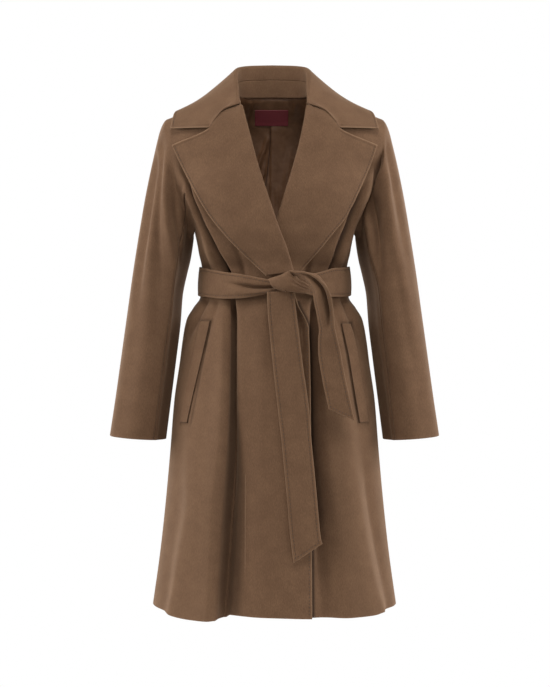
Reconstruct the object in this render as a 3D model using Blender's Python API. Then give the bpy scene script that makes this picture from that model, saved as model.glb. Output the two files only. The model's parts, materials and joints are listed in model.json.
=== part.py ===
# Wool wrap coat: kimono-cut fronts and back, under-sleeve panels, wide notched lapels,
# two-part collar, slanted welts and a tie belt in a half bow.
#
# Frame: +Z up, the coat's front faces -Y and the wearer's right is at -X. The origin is
# between the shoulders, level with the base of the neck, where a wearer holds the coat up.
# Every piece of cloth is a grid of points on its outer face, given its thickness inwards.

import bpy
import numpy as np

MM = 0.001

# Driving dimensions, in metres
CLOTH = 2.4 * MM            # double-faced wool
FOLDED_CLOTH = 3.6 * MM     # two layers pressed together: lapels, collar, belt, welts
LINING = 0.8 * MM
SEAM_GAP = 0.3 * MM
NECK_HALF_WIDTH = 72 * MM
NECK_HEIGHT = 12 * MM       # where the shoulder seam meets the neck
BACK_NECK_HEIGHT = 19 * MM
SHOULDER_HALF_WIDTH = 210 * MM
SHOULDER_DROP = 50 * MM
SHOULDER_ROUNDING = 66 * MM
NAPE_RISE = 60 * MM         # how steeply the roof of the shoulders climbs to the neck
UNDERLAP_DEPTH = 9 * MM     # the left front lies this far behind the right one
OVERLAP_LIFT = 6 * MM       # the right front stands this far proud where it crosses
LABEL_CENTRE = (-6 * MM, -20 * MM)
LABEL_SIZE = (68 * MM, 30 * MM)

RIGHT, LEFT = -1, 1         # the wearer's sides, as signs of X
WORDS = {RIGHT: "right", LEFT: "left"}

LAPEL_LIFT = 9 * MM
ROLL_CLEARANCE = {RIGHT: 1.2 * MM, LEFT: 0.9 * MM}   # between a lapel's roll and its front
WELT_HALF_WIDTH = 9.5 * MM
WELT_CLEARANCE = {RIGHT: 1.9 * MM, LEFT: 2.5 * MM}
COLLAR_FOLD_RADIUS = 6 * MM
LEAF_CROWN = 8 * MM         # how far the collar leaf bulges above a straight line
UNDER_PANEL_HOLLOW = 9 * MM
LINING_CLEARANCE = 1.75 * MM
LINING_MARGIN = 4 * MM      # the lining stops this far short of the seams around it

# Grid sizes
FRONT_CELLS = (6, 4)        # from the inner edge to the deep fold, and on to the side
BACK_COLUMNS = 18
LAPEL_CELLS = (7, 11)
COLLAR_STEPS = 12           # from the gorge to the centre back
STAND_START = 2             # lines of the collar in front of the stand
WELT_POINTS = 5
BELT_COLUMNS = 44
TAIL_COLUMNS = 3
KNOT_OVALS = 9
KNOT_SIDES = 12
FLIPPED = [0, 3, 2, 1]      # turns a face over and keeps its diagonal


def table(columns, *rows):
    """Rows of millimetres as a dictionary of columns in metres."""
    values = np.array(rows, dtype=float) * MM
    return {name: values[:, i] for i, name in enumerate(columns.split())}


def read(source, column, at, key="height"):
    """A column of a table, read smoothly at other values of its key column."""
    order = np.argsort(source[key])
    return smooth(at, source[key][order], source[column][order])


def smooth(at, keys, values):
    """A curve through given values that never overshoots them."""
    at = np.clip(np.asarray(at, dtype=float), keys[0], keys[-1])
    steps = np.diff(keys)
    slopes = np.diff(values) / steps
    product = slopes[:-1] * slopes[1:]
    total = slopes[:-1] + slopes[1:]
    middle = np.where(product > 0, 2 * product / np.where(total == 0, 1, total), 0)
    tangents = np.concatenate([slopes[:1], middle, slopes[-1:]])
    i = np.clip(np.searchsorted(keys, at, side="right") - 1, 0, len(keys) - 2)
    t = (at - keys[i]) / steps[i]
    start = (2 * t**3 - 3 * t**2 + 1) * values[i] + (t**3 - 2 * t**2 + t) * steps[i] * tangents[i]
    end = (3 * t**2 - 2 * t**3) * values[i + 1] + (t**3 - t**2) * steps[i] * tangents[i + 1]
    return start + end


# The body of the coat as rings: half width at the side, depth to front and back.
BODY = table(
    "height half_width front back",
    (60, 252, 60, 62),
    (19, 252, 66, 64),
    (-30, 250, 88, 92),
    (-60, 245, 98, 105),
    (-100, 235, 108, 116),
    (-150, 214, 117, 122),
    (-195, 192, 124, 122),
    (-235, 168, 127, 116),
    (-262, 157, 127, 112),
    (-300, 149, 121, 102),
    (-333, 143, 114, 95),
    (-388, 144, 114, 95),
    (-410, 156, 119, 103),
    (-433, 170, 124, 112),
    (-473, 179, 129, 121),
    (-520, 186, 134, 128),
    (-590, 197, 141, 136),
    (-690, 205, 149, 143),
    (-790, 214, 156, 148),
    (-890, 225, 162, 152),
    (-990, 239, 168, 156),
)

# The grid lines across a front or back, by their height at its inner and outer edge.
# They run along the shoulder at the top and turn level at the underarm.
ROWS = table(
    "front_inner back_inner outer",
    (12, 19, -38),
    (-16, -6, -57),
    (-50, -40, -87),
    (-85, -80, -120),
    (-125, -120, -155),
    (-165, -160, -193),
    (-203, -200, -220),
    (-235, -235, -243),
    (-262, -262, -262),
    (-298, -298, -298),
    (-333, -333, -333),
    (-361, -361, -361),
    (-388, -388, -388),
    (-410, -410, -410),
    (-433, -433, -433),
    (-473, -473, -473),
    (-525, -525, -525),
    (-595, -595, -595),
    (-690, -690, -690),
    (-790, -790, -790),
    (-890, -890, -890),
    (-990, -990, -990),
)
UNDERARM_ROW = 8
GUSSET_ROW = 5
BELT_ROW = 10
BELT_FOOT = -388 * MM       # below this the skirt flares out from under the belt

# Distance of the armhole line from the centre, on each side.
ARMHOLE = table(
    "height right left",
    (-38, 210, 210),
    (-57, 213, 213),
    (-87, 202, 210),
    (-136, 184, 205),
    (-175, 172, 198),
    (-193, 170, 186),
    (-240, 160, 164),
    (-262, 157, 157),
)

# X of each front's inner edge: the lapel's roll line, then the edge below the belt.
FRONT_EDGE = table(
    "height right left",
    (12, -72, 72),
    (-16, -65.5, 64.5),
    (-104, -45, 50),
    (-143, -34.5, 39.5),
    (-178, -24, 29),
    (-259, 3.5, 4),
    (-303, 20.5, -10),
    (-341, 31.5, -23.5),
    (-388, 38, -36),
    (-405, 43, -42),
    (-453, 63, -52),
    (-572, 66, -56),
    (-868, 68, -58),
    (-990, 68.5, -58),
)

# Where the fronts cross: height it starts and how fast, then X where the right front
# starts to lift and where the left one starts to sink, each with its run.
OVERLAP = np.array([-200, 30, -60, 60, 120, 40]) * MM
ROLL_SHARE = 0.07           # how far across a lapel its roll ends

# Soft troughs (positive depth) and ridges (negative) of each front, each along a line
# from its top to its bottom through a middle point.
FOLD_COLUMNS = "top_x top middle_x middle bottom_x bottom width depth"
FRONT_FOLDS = {
    RIGHT: table(
        FOLD_COLUMNS,
        (-166, -150, -131, -245, -96, -333, 15, 24),      # bodice, down to the belt
        (-84, -388, -90, -560, -106, -985, 13, 20),       # inverted fold under the belt
        (-118, -400, -124, -640, -136, -985, 26, -7),     # the cloth beside it rides forward
        (-137, -390, -158, -430, -176, -475, 12, 8),     # hip, from under the belt
    ),
    LEFT: table(
        FOLD_COLUMNS,
        (162, -185, 128, -262, 104, -333, 15, 24),        # bodice, down to the belt
        (137, -390, 155, -430, 171, -475, 12, 8),        # hip, from under the belt
        (99, -388, 99, -620, 104, -960, 20, 15),          # beside the front edge
        (152, -560, 166, -760, 190, -985, 26, -8),        # low ridge towards the side
    ),
}

# X of the deepest fold of each front, from the shoulder to the hem: a grid line runs
# along it, with one on either side.
DEEP_FOLD = table(
    "height right left half_width",
    (12, -148, 148, 18),
    (-90, -156, 160, 12),
    (-150, -158, 164, 8),
    (-195, -151, 155, 8),
    (-245, -131, 135, 14),
    (-333, -96, 104, 15),
    (-388, -84, 99, 15),
    (-560, -90, 99, 15),
    (-990, -106, 104, 18),
)

# Soft folds of the back, drawn in by the belt.
BACK_FOLDS = table(
    "top_x top middle_x middle bottom_x bottom width depth",
    (-70, -150, -58, -240, -48, -333, 16, 13),
    (66, -170, 60, -250, 52, -333, 15, 11),
    (-52, -388, -62, -600, -78, -985, 18, 15),
    (44, -388, 56, -580, 66, -985, 17, 13),
    (0, -395, 4, -620, 2, -985, 22, -7),
    (118, -390, 134, -560, 150, -900, 18, 11),
    (-120, -390, -138, -540, -156, -860, 17, 10),
)

# Sleeve rings, from the outer point to the inner one, with depth to front and back.
SLEEVE = table(
    "outer_x outer_z inner_x inner_z front back middle_y",
    (229, -74, 160, -276, 62, 70, 3),
    (241, -125, 163, -292, 68, 76, 2),
    (254, -190, 168, -316, 75, 80, 1),
    (266, -262, 175, -345, 78, 80, 0),
    (278, -340, 182, -385, 77, 78, -2),
    (289, -420, 184, -440, 73, 75, -4),
    (300, -500, 192, -508, 69, 71, -6),
    (311, -580, 202, -588, 65, 67, -8),
    (323, -658, 212, -665, 61, 63, -9),
)
SLEEVE_COLUMNS = 2 * UNDERARM_ROW
UNDER_PANEL = (GUSSET_ROW, SLEEVE_COLUMNS - GUSSET_ROW)
PANEL_TURNS = (0, 130, 180, 225, 360)     # degrees round the sleeve, at its five key columns
HOLLOW_TURN, HOLLOW_SPREAD = 162, 20      # degrees: where the under panel falls in

# The collar, from the gorge (first row) to the centre back, for the left side.
COLLAR = table(
    "roll_x roll_y roll_z edge_x edge_y edge_z",
    (66, -74, -13, 202, -65, -63),
    (69, -53, 10, 203, -40, -42),
    (72, -24, 38, 200, -8, -25),
    (73, 4, 60, 186, 36, -20),
    (70, 34, 74, 147, 82, -22),
    (44, 57, 79.5, 80, 108, -24),
    (0, 65, 81, 0, 114, -24),
)
COLLAR_BASE = table(
    "x front_z back_z",
    (65.5, -27, 0),
    (69.5, -8, 0),
    (72, 12, 12),
    (70, 0, 13),
    (58, 0, 15.5),
    (34, 0, 18),
    (0, 0, 19),
)
GORGE = table(
    "x y z",
    (66, -74, -13),
    (96, -86, -27),
    (117, -91, -51),
    (126, -91, -63),
    (202, -65, -63),
)
GORGE_STEPS = np.array([0, 0.24, 0.42, 0.50, 1])     # the gorge's points along the end

# Lapels: the roll line, the outer edge and the notched top edge, as X and height.
LAPELS = {
    RIGHT: table(
        "roll_x roll_z edge_x edge_z",
        (-65.5, -23, -199, -98),
        (-50, -84, -181, -137),
        (-34.5, -143, -160, -178),
        (-14, -207, -128, -234),
        (3.5, -259, -93, -278),
        (20.5, -303, -62, -310),
        (33, -345, -17, -352),
    ),
    LEFT: table(
        "roll_x roll_z edge_x edge_z",
        (65.5, -23, 199, -101),
        (58, -66, 186, -138),
        (50, -104, 169, -177),
        (29, -178, 135, -244),
        (5, -254, 112, -272),
        (-10, -303, 84, -306),
        (-21, -341, 51, -343),
    ),
}
LAPEL_TOP = table(
    "x z",
    (65.5, -23),
    (95.5, -35),
    (117, -60),
    (126, -70),
    (199, -99),
)
LAPEL_TOP_STEPS = np.array([0, 0.22, 0.40, 0.50, 1])

# Pocket welts: the centre line's top and bottom.
WELTS = {
    RIGHT: table("x z", (-132, -436), (-170, -631)),
    LEFT: table("x z", (139, -441), (170, -631)),
}

# The belt band by its turn round the body from the front centre (degrees, not mm).
BELT_TURNS = (3, -25, -50, -90, -135, -180, -225, -270, -310, -330, -343)
BELT = table(
    "top bottom lift",
    (-360, -385, 18),
    (-346, -397, 16),
    (-337, -392, 11),
    (-329.5, -386, 4.8),
    (-329, -386, 4.8),
    (-329, -386, 4.8),
    (-329, -386, 4.8),
    (-329.5, -386, 4.8),
    (-337, -393, 11),
    (-347, -398, 15),
    (-352, -396, 17),
)

# The knot: ovals across a short path from the wearer's right to the left.
KNOT = table(
    "x y z half_height half_depth",
    (-19, -139, -362, 3, 5),
    (-8, -146, -363, 14, 13.5),
    (12, -149, -364, 21.5, 16.4),
    (30, -149, -367, 18.5, 15.5),
    (44, -146, -372, 13, 11),
    (52, -141, -374, 4, 5),
)

# The belt's free ends: middle line, and the vector from it to the left-hand edge.
LONG_TAIL = table(
    "x y z side_x side_y side_z",
    (11, -149, -386.2, 25, 2, 0),
    (15, -149, -430, 27, 0, 0),
    (25, -151, -520, 28, -2, 1),
    (35, -154, -600, 29, -1, 2),
    (42, -157, -670, 28, 2, 2),
    (50, -163, -755, 28, 1, 2),
    (57, -170, -835, 28, 0, 2),
    (62, -173, -868, 27, 0, 18),
)
SHORT_TAIL = table(
    "x y z side_x side_y side_z",
    (35, -160, -345.2, 2, -9, 6),
    (55, -172, -342, 3, -14, 9),
    (74, -180, -357, 8, -15, 9),
    (86, -179, -384, 14, -16, 7),
    (93, -174, -420, 18, -12, 4),
    (97, -166, -460, 20, -6, 2),
    (103, -160, -520, 22, -2, 3),
    (113, -160, -565, 23, 0, 5),
    (125, -161, -615, 25, 0, -11),
)

COLOURS = {
    "wool": (0.155, 0.093, 0.055, 1.0),
    "lining": (0.090, 0.050, 0.030, 1.0),
    "label": (0.140, 0.008, 0.018, 1.0),
}


def shoulder_line(x):
    """Height of the top edge of a front or back: the shoulder seam, or the back neck."""
    reach = (np.abs(x) - NECK_HALF_WIDTH) / (SHOULDER_HALF_WIDTH - NECK_HALF_WIDTH)
    seam = NECK_HEIGHT - SHOULDER_DROP * reach
    neck = BACK_NECK_HEIGHT - (BACK_NECK_HEIGHT - NECK_HEIGHT) * (x / NECK_HALF_WIDTH) ** 2
    return np.where(np.abs(x) < NECK_HALF_WIDTH, neck, seam)


def front_line(x):
    """The shoulder seam's slope, carried on towards the centre for a front."""
    reach = (np.abs(x) - NECK_HALF_WIDTH) / (SHOULDER_HALF_WIDTH - NECK_HALF_WIDTH)
    return NECK_HEIGHT - SHOULDER_DROP * reach


def roof(x):
    """The line over which the front turns into the back, at the shoulders and nape."""
    nape = NECK_HEIGHT + NAPE_RISE * (1 - (x / NECK_HALF_WIDTH) ** 2)
    return np.where(np.abs(x) < NECK_HALF_WIDTH, nape, front_line(x))


def rounding(x, z):
    """0 on the roof line, growing along a quarter circle to 1 below the shoulder."""
    fall = np.clip((roof(x) - z) / SHOULDER_ROUNDING, 0, 1)
    return np.sqrt(1 - (1 - fall) ** 2)


def fold_depth(folds, x, z):
    """Depth of all the soft troughs and ridges at a point of the cloth."""
    total = np.zeros(np.broadcast(x, z).shape)
    for i in range(len(folds["width"])):
        heights = np.array([folds[k][i] for k in ("bottom", "middle", "top")])
        places = np.array([folds[k][i] for k in ("bottom_x", "middle_x", "top_x")])
        along = np.clip((heights[2] - z) / (heights[2] - heights[0]), 0, 1)
        strength = np.sin(np.pi * np.clip(along * 2.2, 0, 0.5)) * (z <= heights[2])
        away = (x - smooth(z, heights, places)) / folds["width"][i]
        total += folds["depth"][i] * strength * np.exp(-away**2)
    return total


def front_point(x, z, lift=0.0, side=None):
    """A point of the front at a given X and height, moved out by lift. A side adds that
    front's folds."""
    half_width = read(BODY, "half_width", z)
    across = np.clip(x / half_width, -1, 1)
    facing = np.sqrt(1 - across**2)
    depth = fold_depth(FRONT_FOLDS[side], x, z) * facing if side else 0.0
    out = lift - depth
    y = -read(BODY, "front", z) * facing * rounding(x, z)
    return np.stack(np.broadcast_arrays(x + across * out, y - facing * out, z), axis=-1)


def back_point(x, z, lift=0.0):
    """A point of the back at a given X and height, moved out by lift."""
    half_width = read(BODY, "half_width", z)
    across = np.clip(x / half_width, -1, 1)
    facing = np.sqrt(1 - across**2)
    out = lift - fold_depth(BACK_FOLDS, x, z) * facing
    y = read(BODY, "back", z) * facing * rounding(x, z)
    return np.stack(np.broadcast_arrays(x + across * out, y + facing * out, z), axis=-1)


def overlap_lift(side, x, z):
    """How far a front stands off the body where the two fronts cross."""
    top, fade, right_start, right_fade, left_end, left_fade = OVERLAP
    low = np.clip((top - z) / fade, 0, 1)
    if side == RIGHT:
        near = np.clip((x - right_start) / right_fade, 0, 1)
        return OVERLAP_LIFT * near**2 * (3 - 2 * near) * low
    near = np.clip((left_end - x) / left_fade, 0, 1)
    return -UNDERLAP_DEPTH * near**2 * (3 - 2 * near) * low


def armhole_or_side(side, z):
    """X of the outer edge of a front or back at a height."""
    armhole = read(ARMHOLE, WORDS[side], z)
    return side * np.where(z < ARMHOLE["height"][-1], read(BODY, "half_width", z), armhole)


def spread(inner, outer, half_width, columns):
    """X across a panel, spaced by equal turns of the body's ring."""
    turn_in = np.arcsin(np.clip(inner / half_width, -1, 1))
    turn_out = np.arcsin(np.clip(outer / half_width, -1, 1))
    turns = turn_in[:, None] + (turn_out - turn_in)[:, None] * np.linspace(0, 1, columns + 1)
    return half_width[:, None] * np.sin(turns)


def front_grid(side):
    """Points of one front: rows from the shoulder to the hem, columns to the side."""
    inner_z, outer_z = ROWS["front_inner"], ROWS["outer"]
    half_width = read(BODY, "half_width", outer_z)
    inner = read(FRONT_EDGE, WORDS[side], inner_z)
    outer = armhole_or_side(side, outer_z)
    fold = read(DEEP_FOLD, WORDS[side], (inner_z + outer_z) / 2)
    reach = side * read(DEEP_FOLD, "half_width", outer_z)
    before = spread(inner, fold - reach, half_width, FRONT_CELLS[0])
    after = spread(fold + reach, outer, half_width, FRONT_CELLS[1])
    x = np.concatenate([before, fold[:, None], after], axis=1)
    share = (x - inner[:, None]) / (outer - inner)[:, None]
    drop = front_line(inner) - inner_z
    z = front_line(x) - drop[:, None] - share * ((front_line(outer) - outer_z) - drop)[:, None]
    z[UNDERARM_ROW:] = inner_z[UNDERARM_ROW:, None]
    return front_point(x, z, overlap_lift(side, x, z), side)


def back_grid():
    """Points of the back, from the right side to the left."""
    inner_z, outer_z = ROWS["back_inner"], ROWS["outer"]
    half_width = read(BODY, "half_width", outer_z)
    halves = []
    for side in (RIGHT, LEFT):
        outer = armhole_or_side(side, outer_z)
        x = spread(0 * outer, outer, half_width, BACK_COLUMNS // 2)
        share = x / outer[:, None]
        drop = (shoulder_line(0.0) - inner_z)[:, None]
        z = shoulder_line(x) - drop - share * ((shoulder_line(outer) - outer_z)[:, None] - drop)
        z[UNDERARM_ROW:] = inner_z[UNDERARM_ROW:, None]
        halves.append(back_point(x, z))
    return np.concatenate([halves[0][:, ::-1], halves[1][:, 1:]], axis=1)


def sleeve_grid(side, front, back):
    """Rings of one sleeve from the armhole to the cuff; columns run from the top of the
    arm down its front to the underarm and up its back."""
    armhole_back = back[:UNDERARM_ROW + 1, -1 if side == LEFT else 0]
    armhole = np.concatenate([front[:UNDERARM_ROW + 1, -1], armhole_back[-2::-1]])
    keys = np.array([0, GUSSET_ROW, UNDERARM_ROW, UNDER_PANEL[1], SLEEVE_COLUMNS])
    degrees = np.interp(np.arange(SLEEVE_COLUMNS + 1), keys, PANEL_TURNS)
    turns = np.radians(degrees)
    hollow = UNDER_PANEL_HOLLOW * np.exp(-((degrees - HOLLOW_TURN) / HOLLOW_SPREAD) ** 2)
    share = (1 + np.cos(turns)) / 2
    rings = [armhole]
    for i in range(len(SLEEVE["front"])):
        ring = {name: values[i] for name, values in SLEEVE.items()}
        x = ring["inner_x"] + (ring["outer_x"] - ring["inner_x"]) * share - hollow
        z = ring["inner_z"] + (ring["outer_z"] - ring["inner_z"]) * share
        depth = np.where(turns < np.pi, ring["front"], ring["back"])
        y = ring["middle_y"] - depth * np.sin(turns)
        rings.append(np.stack([side * (x + 2 * hollow), y, z], axis=-1))
    return np.array(rings)


def lapel_grid(side):
    """Points of one lapel: rows from the notch to the belt, columns from the roll line
    out to the edge. Its first column turns back to meet the front."""
    columns, rows = LAPEL_CELLS
    lapel = LAPELS[side]
    steps = np.linspace(0, 1, len(lapel["roll_x"]))
    down = np.linspace(0, 1, rows + 1)
    out = np.concatenate([[0], np.linspace(ROLL_SHARE, 1, columns)])
    edges = {name: smooth(down, steps, values)[:, None] for name, values in lapel.items()}
    top_x = side * smooth(out, LAPEL_TOP_STEPS, LAPEL_TOP["x"])
    top_z = smooth(out, LAPEL_TOP_STEPS, LAPEL_TOP["z"])
    fade = (1 - down[:, None]) ** 3
    x = edges["roll_x"] * (1 - out) + edges["edge_x"] * out
    z = edges["roll_z"] * (1 - out) + edges["edge_z"] * out
    x = x + fade * (top_x - x[0])
    z = z + fade * (top_z - z[0])
    lift = np.full_like(x, LAPEL_LIFT)
    lift[:, 0] = FOLDED_CLOTH + ROLL_CLEARANCE[side]
    base = overlap_lift(side, x, z) if side == RIGHT else np.minimum(overlap_lift(side, x, z), 0)
    return front_point(x, z, lift + base)


def collar_lines():
    """Roll line, outer edge and base of the whole collar, right gorge to left gorge."""
    steps = np.linspace(0, 1, len(COLLAR["roll_x"]))
    at = np.linspace(0, 1, COLLAR_STEPS + 1)
    lines = []
    for name in ("roll", "edge"):
        line = [smooth(at, steps, COLLAR[f"{name}_{axis}"]) for axis in "xyz"]
        lines.append(np.stack(line, axis=-1))
    x = smooth(at, steps, COLLAR_BASE["x"])
    in_front = at < steps[2]
    front = front_point(x, smooth(at, steps[:3], COLLAR_BASE["front_z"][:3]))
    back = back_point(x, smooth(at, steps[2:], COLLAR_BASE["back_z"][2:]))
    lines.append(np.where(in_front[:, None], front, back))
    whole = []
    for line in lines:
        right = line[:-1] * np.array([-1, 1, 1])
        whole.append(np.concatenate([right, line[::-1]]))
    return whole


def collar_grids():
    """The stand's inner face, and the leaf's: up from the stand, over the roll, and out."""
    roll, edge, base = collar_lines()
    count = len(roll)
    inward = -roll * np.array([1, 1, 0])
    inward /= np.linalg.norm(inward, axis=1)[:, None]
    from_end = np.minimum(np.arange(count), count - 1 - np.arange(count)) / (count // 2)
    radius = (COLLAR_FOLD_RADIUS * np.clip(0.45 + 2.0 * from_end, 0, 1))[:, None]
    seam = base + (roll - base) * 0.5 + inward * radius * 0.6
    foot = base + np.array([0, 0, SEAM_GAP]) + inward * radius * 0.2
    stand = np.stack([foot, (foot + seam) / 2, seam], axis=1)[STAND_START:-STAND_START]
    up = np.array([0, 0, 1])
    leaf = [seam, roll + inward * radius - up * radius]
    for turn in np.radians((45, 90, 135)):
        leaf.append(roll + inward * radius * np.cos(turn) + up * radius * (np.sin(turn) - 1))
    start, first = leaf[-1], len(leaf) - 1
    for share in (0.2, 0.4, 0.6, 0.8, 1.0):
        line = start + (edge - start) * share
        crown = LEAF_CROWN * np.sin(np.pi * share) * np.clip(0.5 + from_end, 0, 1)
        line = line + crown[:, None] * np.array([0, -0.6, 0.8])
        for end, side in ((0, RIGHT), (-1, LEFT)):
            gorge = [smooth(share, GORGE_STEPS, GORGE[axis]) for axis in "xyz"]
            line[end] = np.array(gorge) * (side, 1, 1)
        leaf.append(line)
    leaf = np.stack(leaf, axis=1)
    ease_ends(leaf, first)
    return stand, leaf


def ease_ends(leaf, first):
    """Let the notch's bent ends fade into the leaf over the next few lines."""
    for end, inner in ((0, 1), (-1, -1)):
        along = np.linspace(0, 1, leaf.shape[1] - first)[:, None]
        straight = leaf[end, first] + (leaf[end, -1] - leaf[end, first]) * along
        bend = leaf[end, first:] - straight
        for step, share in ((1, 0.55), (2, 0.25), (3, 0.08)):
            leaf[end + inner * step, first:] += bend * share


def strip_grid(source, rows):
    """A strip of cloth along a middle line, with its side vector giving both edges."""
    steps = np.linspace(0, 1, len(source["x"]))
    at = np.linspace(0, 1, rows + 1)
    middle = np.stack([smooth(at, steps, source[a]) for a in "xyz"], axis=-1)
    side = np.stack([smooth(at, steps, source["side_" + a]) for a in "xyz"], axis=-1)
    across = np.linspace(-1, 1, TAIL_COLUMNS + 1)
    return middle[:, None] + side[:, None] * across[None, :, None]


def belt_grid():
    """Outer face of the band, round the waist from one side of the knot to the other."""
    turns = np.linspace(BELT_TURNS[0], BELT_TURNS[-1], BELT_COLUMNS + 1)
    keys = np.array(BELT_TURNS[::-1], dtype=float)
    values = {name: smooth(turns, keys, column[::-1]) for name, column in BELT.items()}
    angle = np.radians(turns)
    rows = []
    for share in (0, 0.5, 1):
        z = values["top"] + (values["bottom"] - values["top"]) * share
        level = np.maximum(z, BELT_FOOT)
        half_width = read(BODY, "half_width", level)
        depth = np.where(np.cos(angle) > 0, read(BODY, "front", level), read(BODY, "back", level))
        x = (half_width + values["lift"]) * np.sin(angle)
        rows.append(np.stack([x, -(depth + values["lift"]) * np.cos(angle), z], axis=-1))
    return np.array(rows)


def on_panel(grid, x, z):
    """Points of a panel's own flat cells at a given X and height."""
    corners = np.stack([grid[:-1, :-1], grid[:-1, 1:], grid[1:, 1:], grid[1:, :-1]], axis=2)
    corners = corners.reshape(-1, 4, 3)
    triangles = np.concatenate([corners[:, [0, 1, 2]], corners[:, [0, 2, 3]]])
    a, b, c = (triangles[:, i][:, None] for i in range(3))
    shape = np.broadcast(x, z).shape
    x, z = (np.broadcast_to(value, shape).ravel() for value in (x, z))
    area = cross_xz(b - a, c - a)
    place = np.stack([x, 0 * x, z], axis=-1)[None]
    share_b = cross_xz(place - a, c - a) / area
    share_c = cross_xz(b - a, place - a) / area
    depth = a[..., 1] * (1 - share_b - share_c) + b[..., 1] * share_b + c[..., 1] * share_c
    outside = np.maximum(np.maximum(-share_b, -share_c), share_b + share_c - 1)
    y = depth[outside.argmin(axis=0), np.arange(len(x))]
    return np.stack([x, y, z], axis=-1).reshape(*shape, 3)


def cross_xz(first, second):
    return first[..., 0] * second[..., 2] - first[..., 2] * second[..., 0]


def grid_normals(grid, outward):
    """Unit normals of a grid's points, turned to the side that outward names."""
    along = np.gradient(grid, axis=0)
    across = np.gradient(grid, axis=1)
    normals = np.cross(along, across)
    normals /= np.maximum(np.linalg.norm(normals, axis=-1), 1e-12)[..., None]
    flip = np.sign((normals * outward).sum())
    return normals * (flip if flip else 1)


def share_normals(grids, normals):
    """Give pieces that meet at a seam the same normal there."""
    points = np.concatenate([g.reshape(-1, 3) for g in grids])
    facing = np.concatenate([n.reshape(-1, 3) for n in normals])
    keys = np.round(points / (0.01 * MM)).astype(np.int64)
    _, places = np.unique(keys, axis=0, return_inverse=True)
    places = places.ravel()
    total = np.zeros((places.max() + 1, 3))
    np.add.at(total, places, facing)
    total /= np.maximum(np.linalg.norm(total, axis=1), 1e-9)[:, None]
    result, start = [], 0
    for grid in grids:
        count = grid[..., 0].size
        result.append(total[places[start:start + count]].reshape(grid.shape))
        start += count
    return result


def level_seam_normals(grid, normals):
    """At the shoulder seam both panels take their thickness square to the seam."""
    along = np.abs(grid[0, :, 0])
    on_seam = (along > NECK_HALF_WIDTH - 0.01 * MM) & (along < SHOULDER_HALF_WIDTH - MM)
    run = SHOULDER_HALF_WIDTH - NECK_HALF_WIDTH
    length = np.hypot(SHOULDER_DROP, run)
    x = np.sign(grid[0, on_seam, 0]) * SHOULDER_DROP / length
    normals[0, on_seam] = np.stack([x, 0 * x, 0 * x + run / length], axis=-1)


def drawn_in(grid, amount):
    """The grid with its four edges moved inwards along its own lines."""
    result = grid.copy()
    for first, second in ((0, 1), (-1, -2)):
        for view, source in ((result, grid), (result.swapaxes(0, 1), grid.swapaxes(0, 1))):
            step = source[second] - source[first]
            length = np.maximum(np.linalg.norm(step, axis=-1), 1e-9)[..., None]
            view[first] += step / length * amount
    return result


def wall(name, outer, normals, thickness, material, parent):
    """One closed piece of cloth: an outer face, an inner face and the rim between."""
    inner = drawn_in(outer - normals * thickness, SEAM_GAP / 2)
    outer = drawn_in(outer, SEAM_GAP / 2)
    rows, columns = outer.shape[:2]
    points = np.concatenate([outer.reshape(-1, 3), inner.reshape(-1, 3)])
    index = np.arange(rows * columns).reshape(rows, columns)
    cell = np.stack([index[:-1, :-1], index[:-1, 1:], index[1:, 1:], index[1:, :-1]], axis=-1)
    cell = cell.reshape(-1, 4)
    edge = np.concatenate([index[0, :-1], index[:-1, -1], index[-1, :0:-1], index[:0:-1, 0]])
    following = np.roll(edge, -1)
    offset = rows * columns
    rim = np.stack([following, edge, edge + offset, following + offset], axis=-1)
    rises = outer.reshape(-1, 3)[following, 2] > outer.reshape(-1, 3)[edge, 2]
    rim[rises] = np.roll(rim[rises], -1, axis=1)    # both sides of a seam split alike
    faces = np.concatenate([cell, cell[:, FLIPPED] + offset, rim])
    row_step = outer[1, 0] - outer[0, 0]
    column_step = outer[0, 1] - outer[0, 0]
    if np.dot(np.cross(column_step, row_step), normals[0, 0]) < 0:
        faces = faces[:, FLIPPED]
    add_object(name, points, faces.tolist(), material, parent)


def oval_path(name, source, material, parent):
    """A closed lump through ovals, flat at both ends."""
    steps = np.linspace(0, 1, len(source["x"]))
    at = np.linspace(0, 1, KNOT_OVALS)
    values = {key: smooth(at, steps, column)[:, None] for key, column in source.items()}
    turns = np.linspace(0, 2 * np.pi, KNOT_SIDES, endpoint=False)
    x = values["x"] + 0 * turns
    y = values["y"] + values["half_depth"] * np.cos(turns)
    z = values["z"] + values["half_height"] * np.sin(turns)
    points = np.stack([x, y, z], axis=-1).reshape(-1, 3)
    index = np.arange(KNOT_OVALS * KNOT_SIDES).reshape(KNOT_OVALS, KNOT_SIDES)
    turned = np.roll(index, -1, axis=1)
    sides = np.stack([index[:-1], turned[:-1], turned[1:], index[1:]], axis=-1)
    faces = sides.reshape(-1, 4).tolist() + [index[0, ::-1].tolist(), index[-1].tolist()]
    add_object(name, points, faces, material, parent)


def add_object(name, points, faces, material, parent):
    mesh = bpy.data.meshes.new(name)
    mesh.from_pydata(points.tolist(), [], faces)
    mesh.materials.append(cloth_material(name, material))
    mesh.shade_smooth()
    item = bpy.data.objects.new(name, mesh)
    item.parent = parent
    bpy.context.collection.objects.link(item)


def cloth_material(name, kind):
    material = bpy.data.materials.new(name)
    material.use_nodes = True
    shader = material.node_tree.nodes["Principled BSDF"]
    shader.inputs["Base Color"].default_value = COLOURS[kind]
    shader.inputs["Roughness"].default_value = 0.35 if kind == "lining" else 0.9
    shader.inputs["Metallic"].default_value = 0.0
    return material


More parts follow.
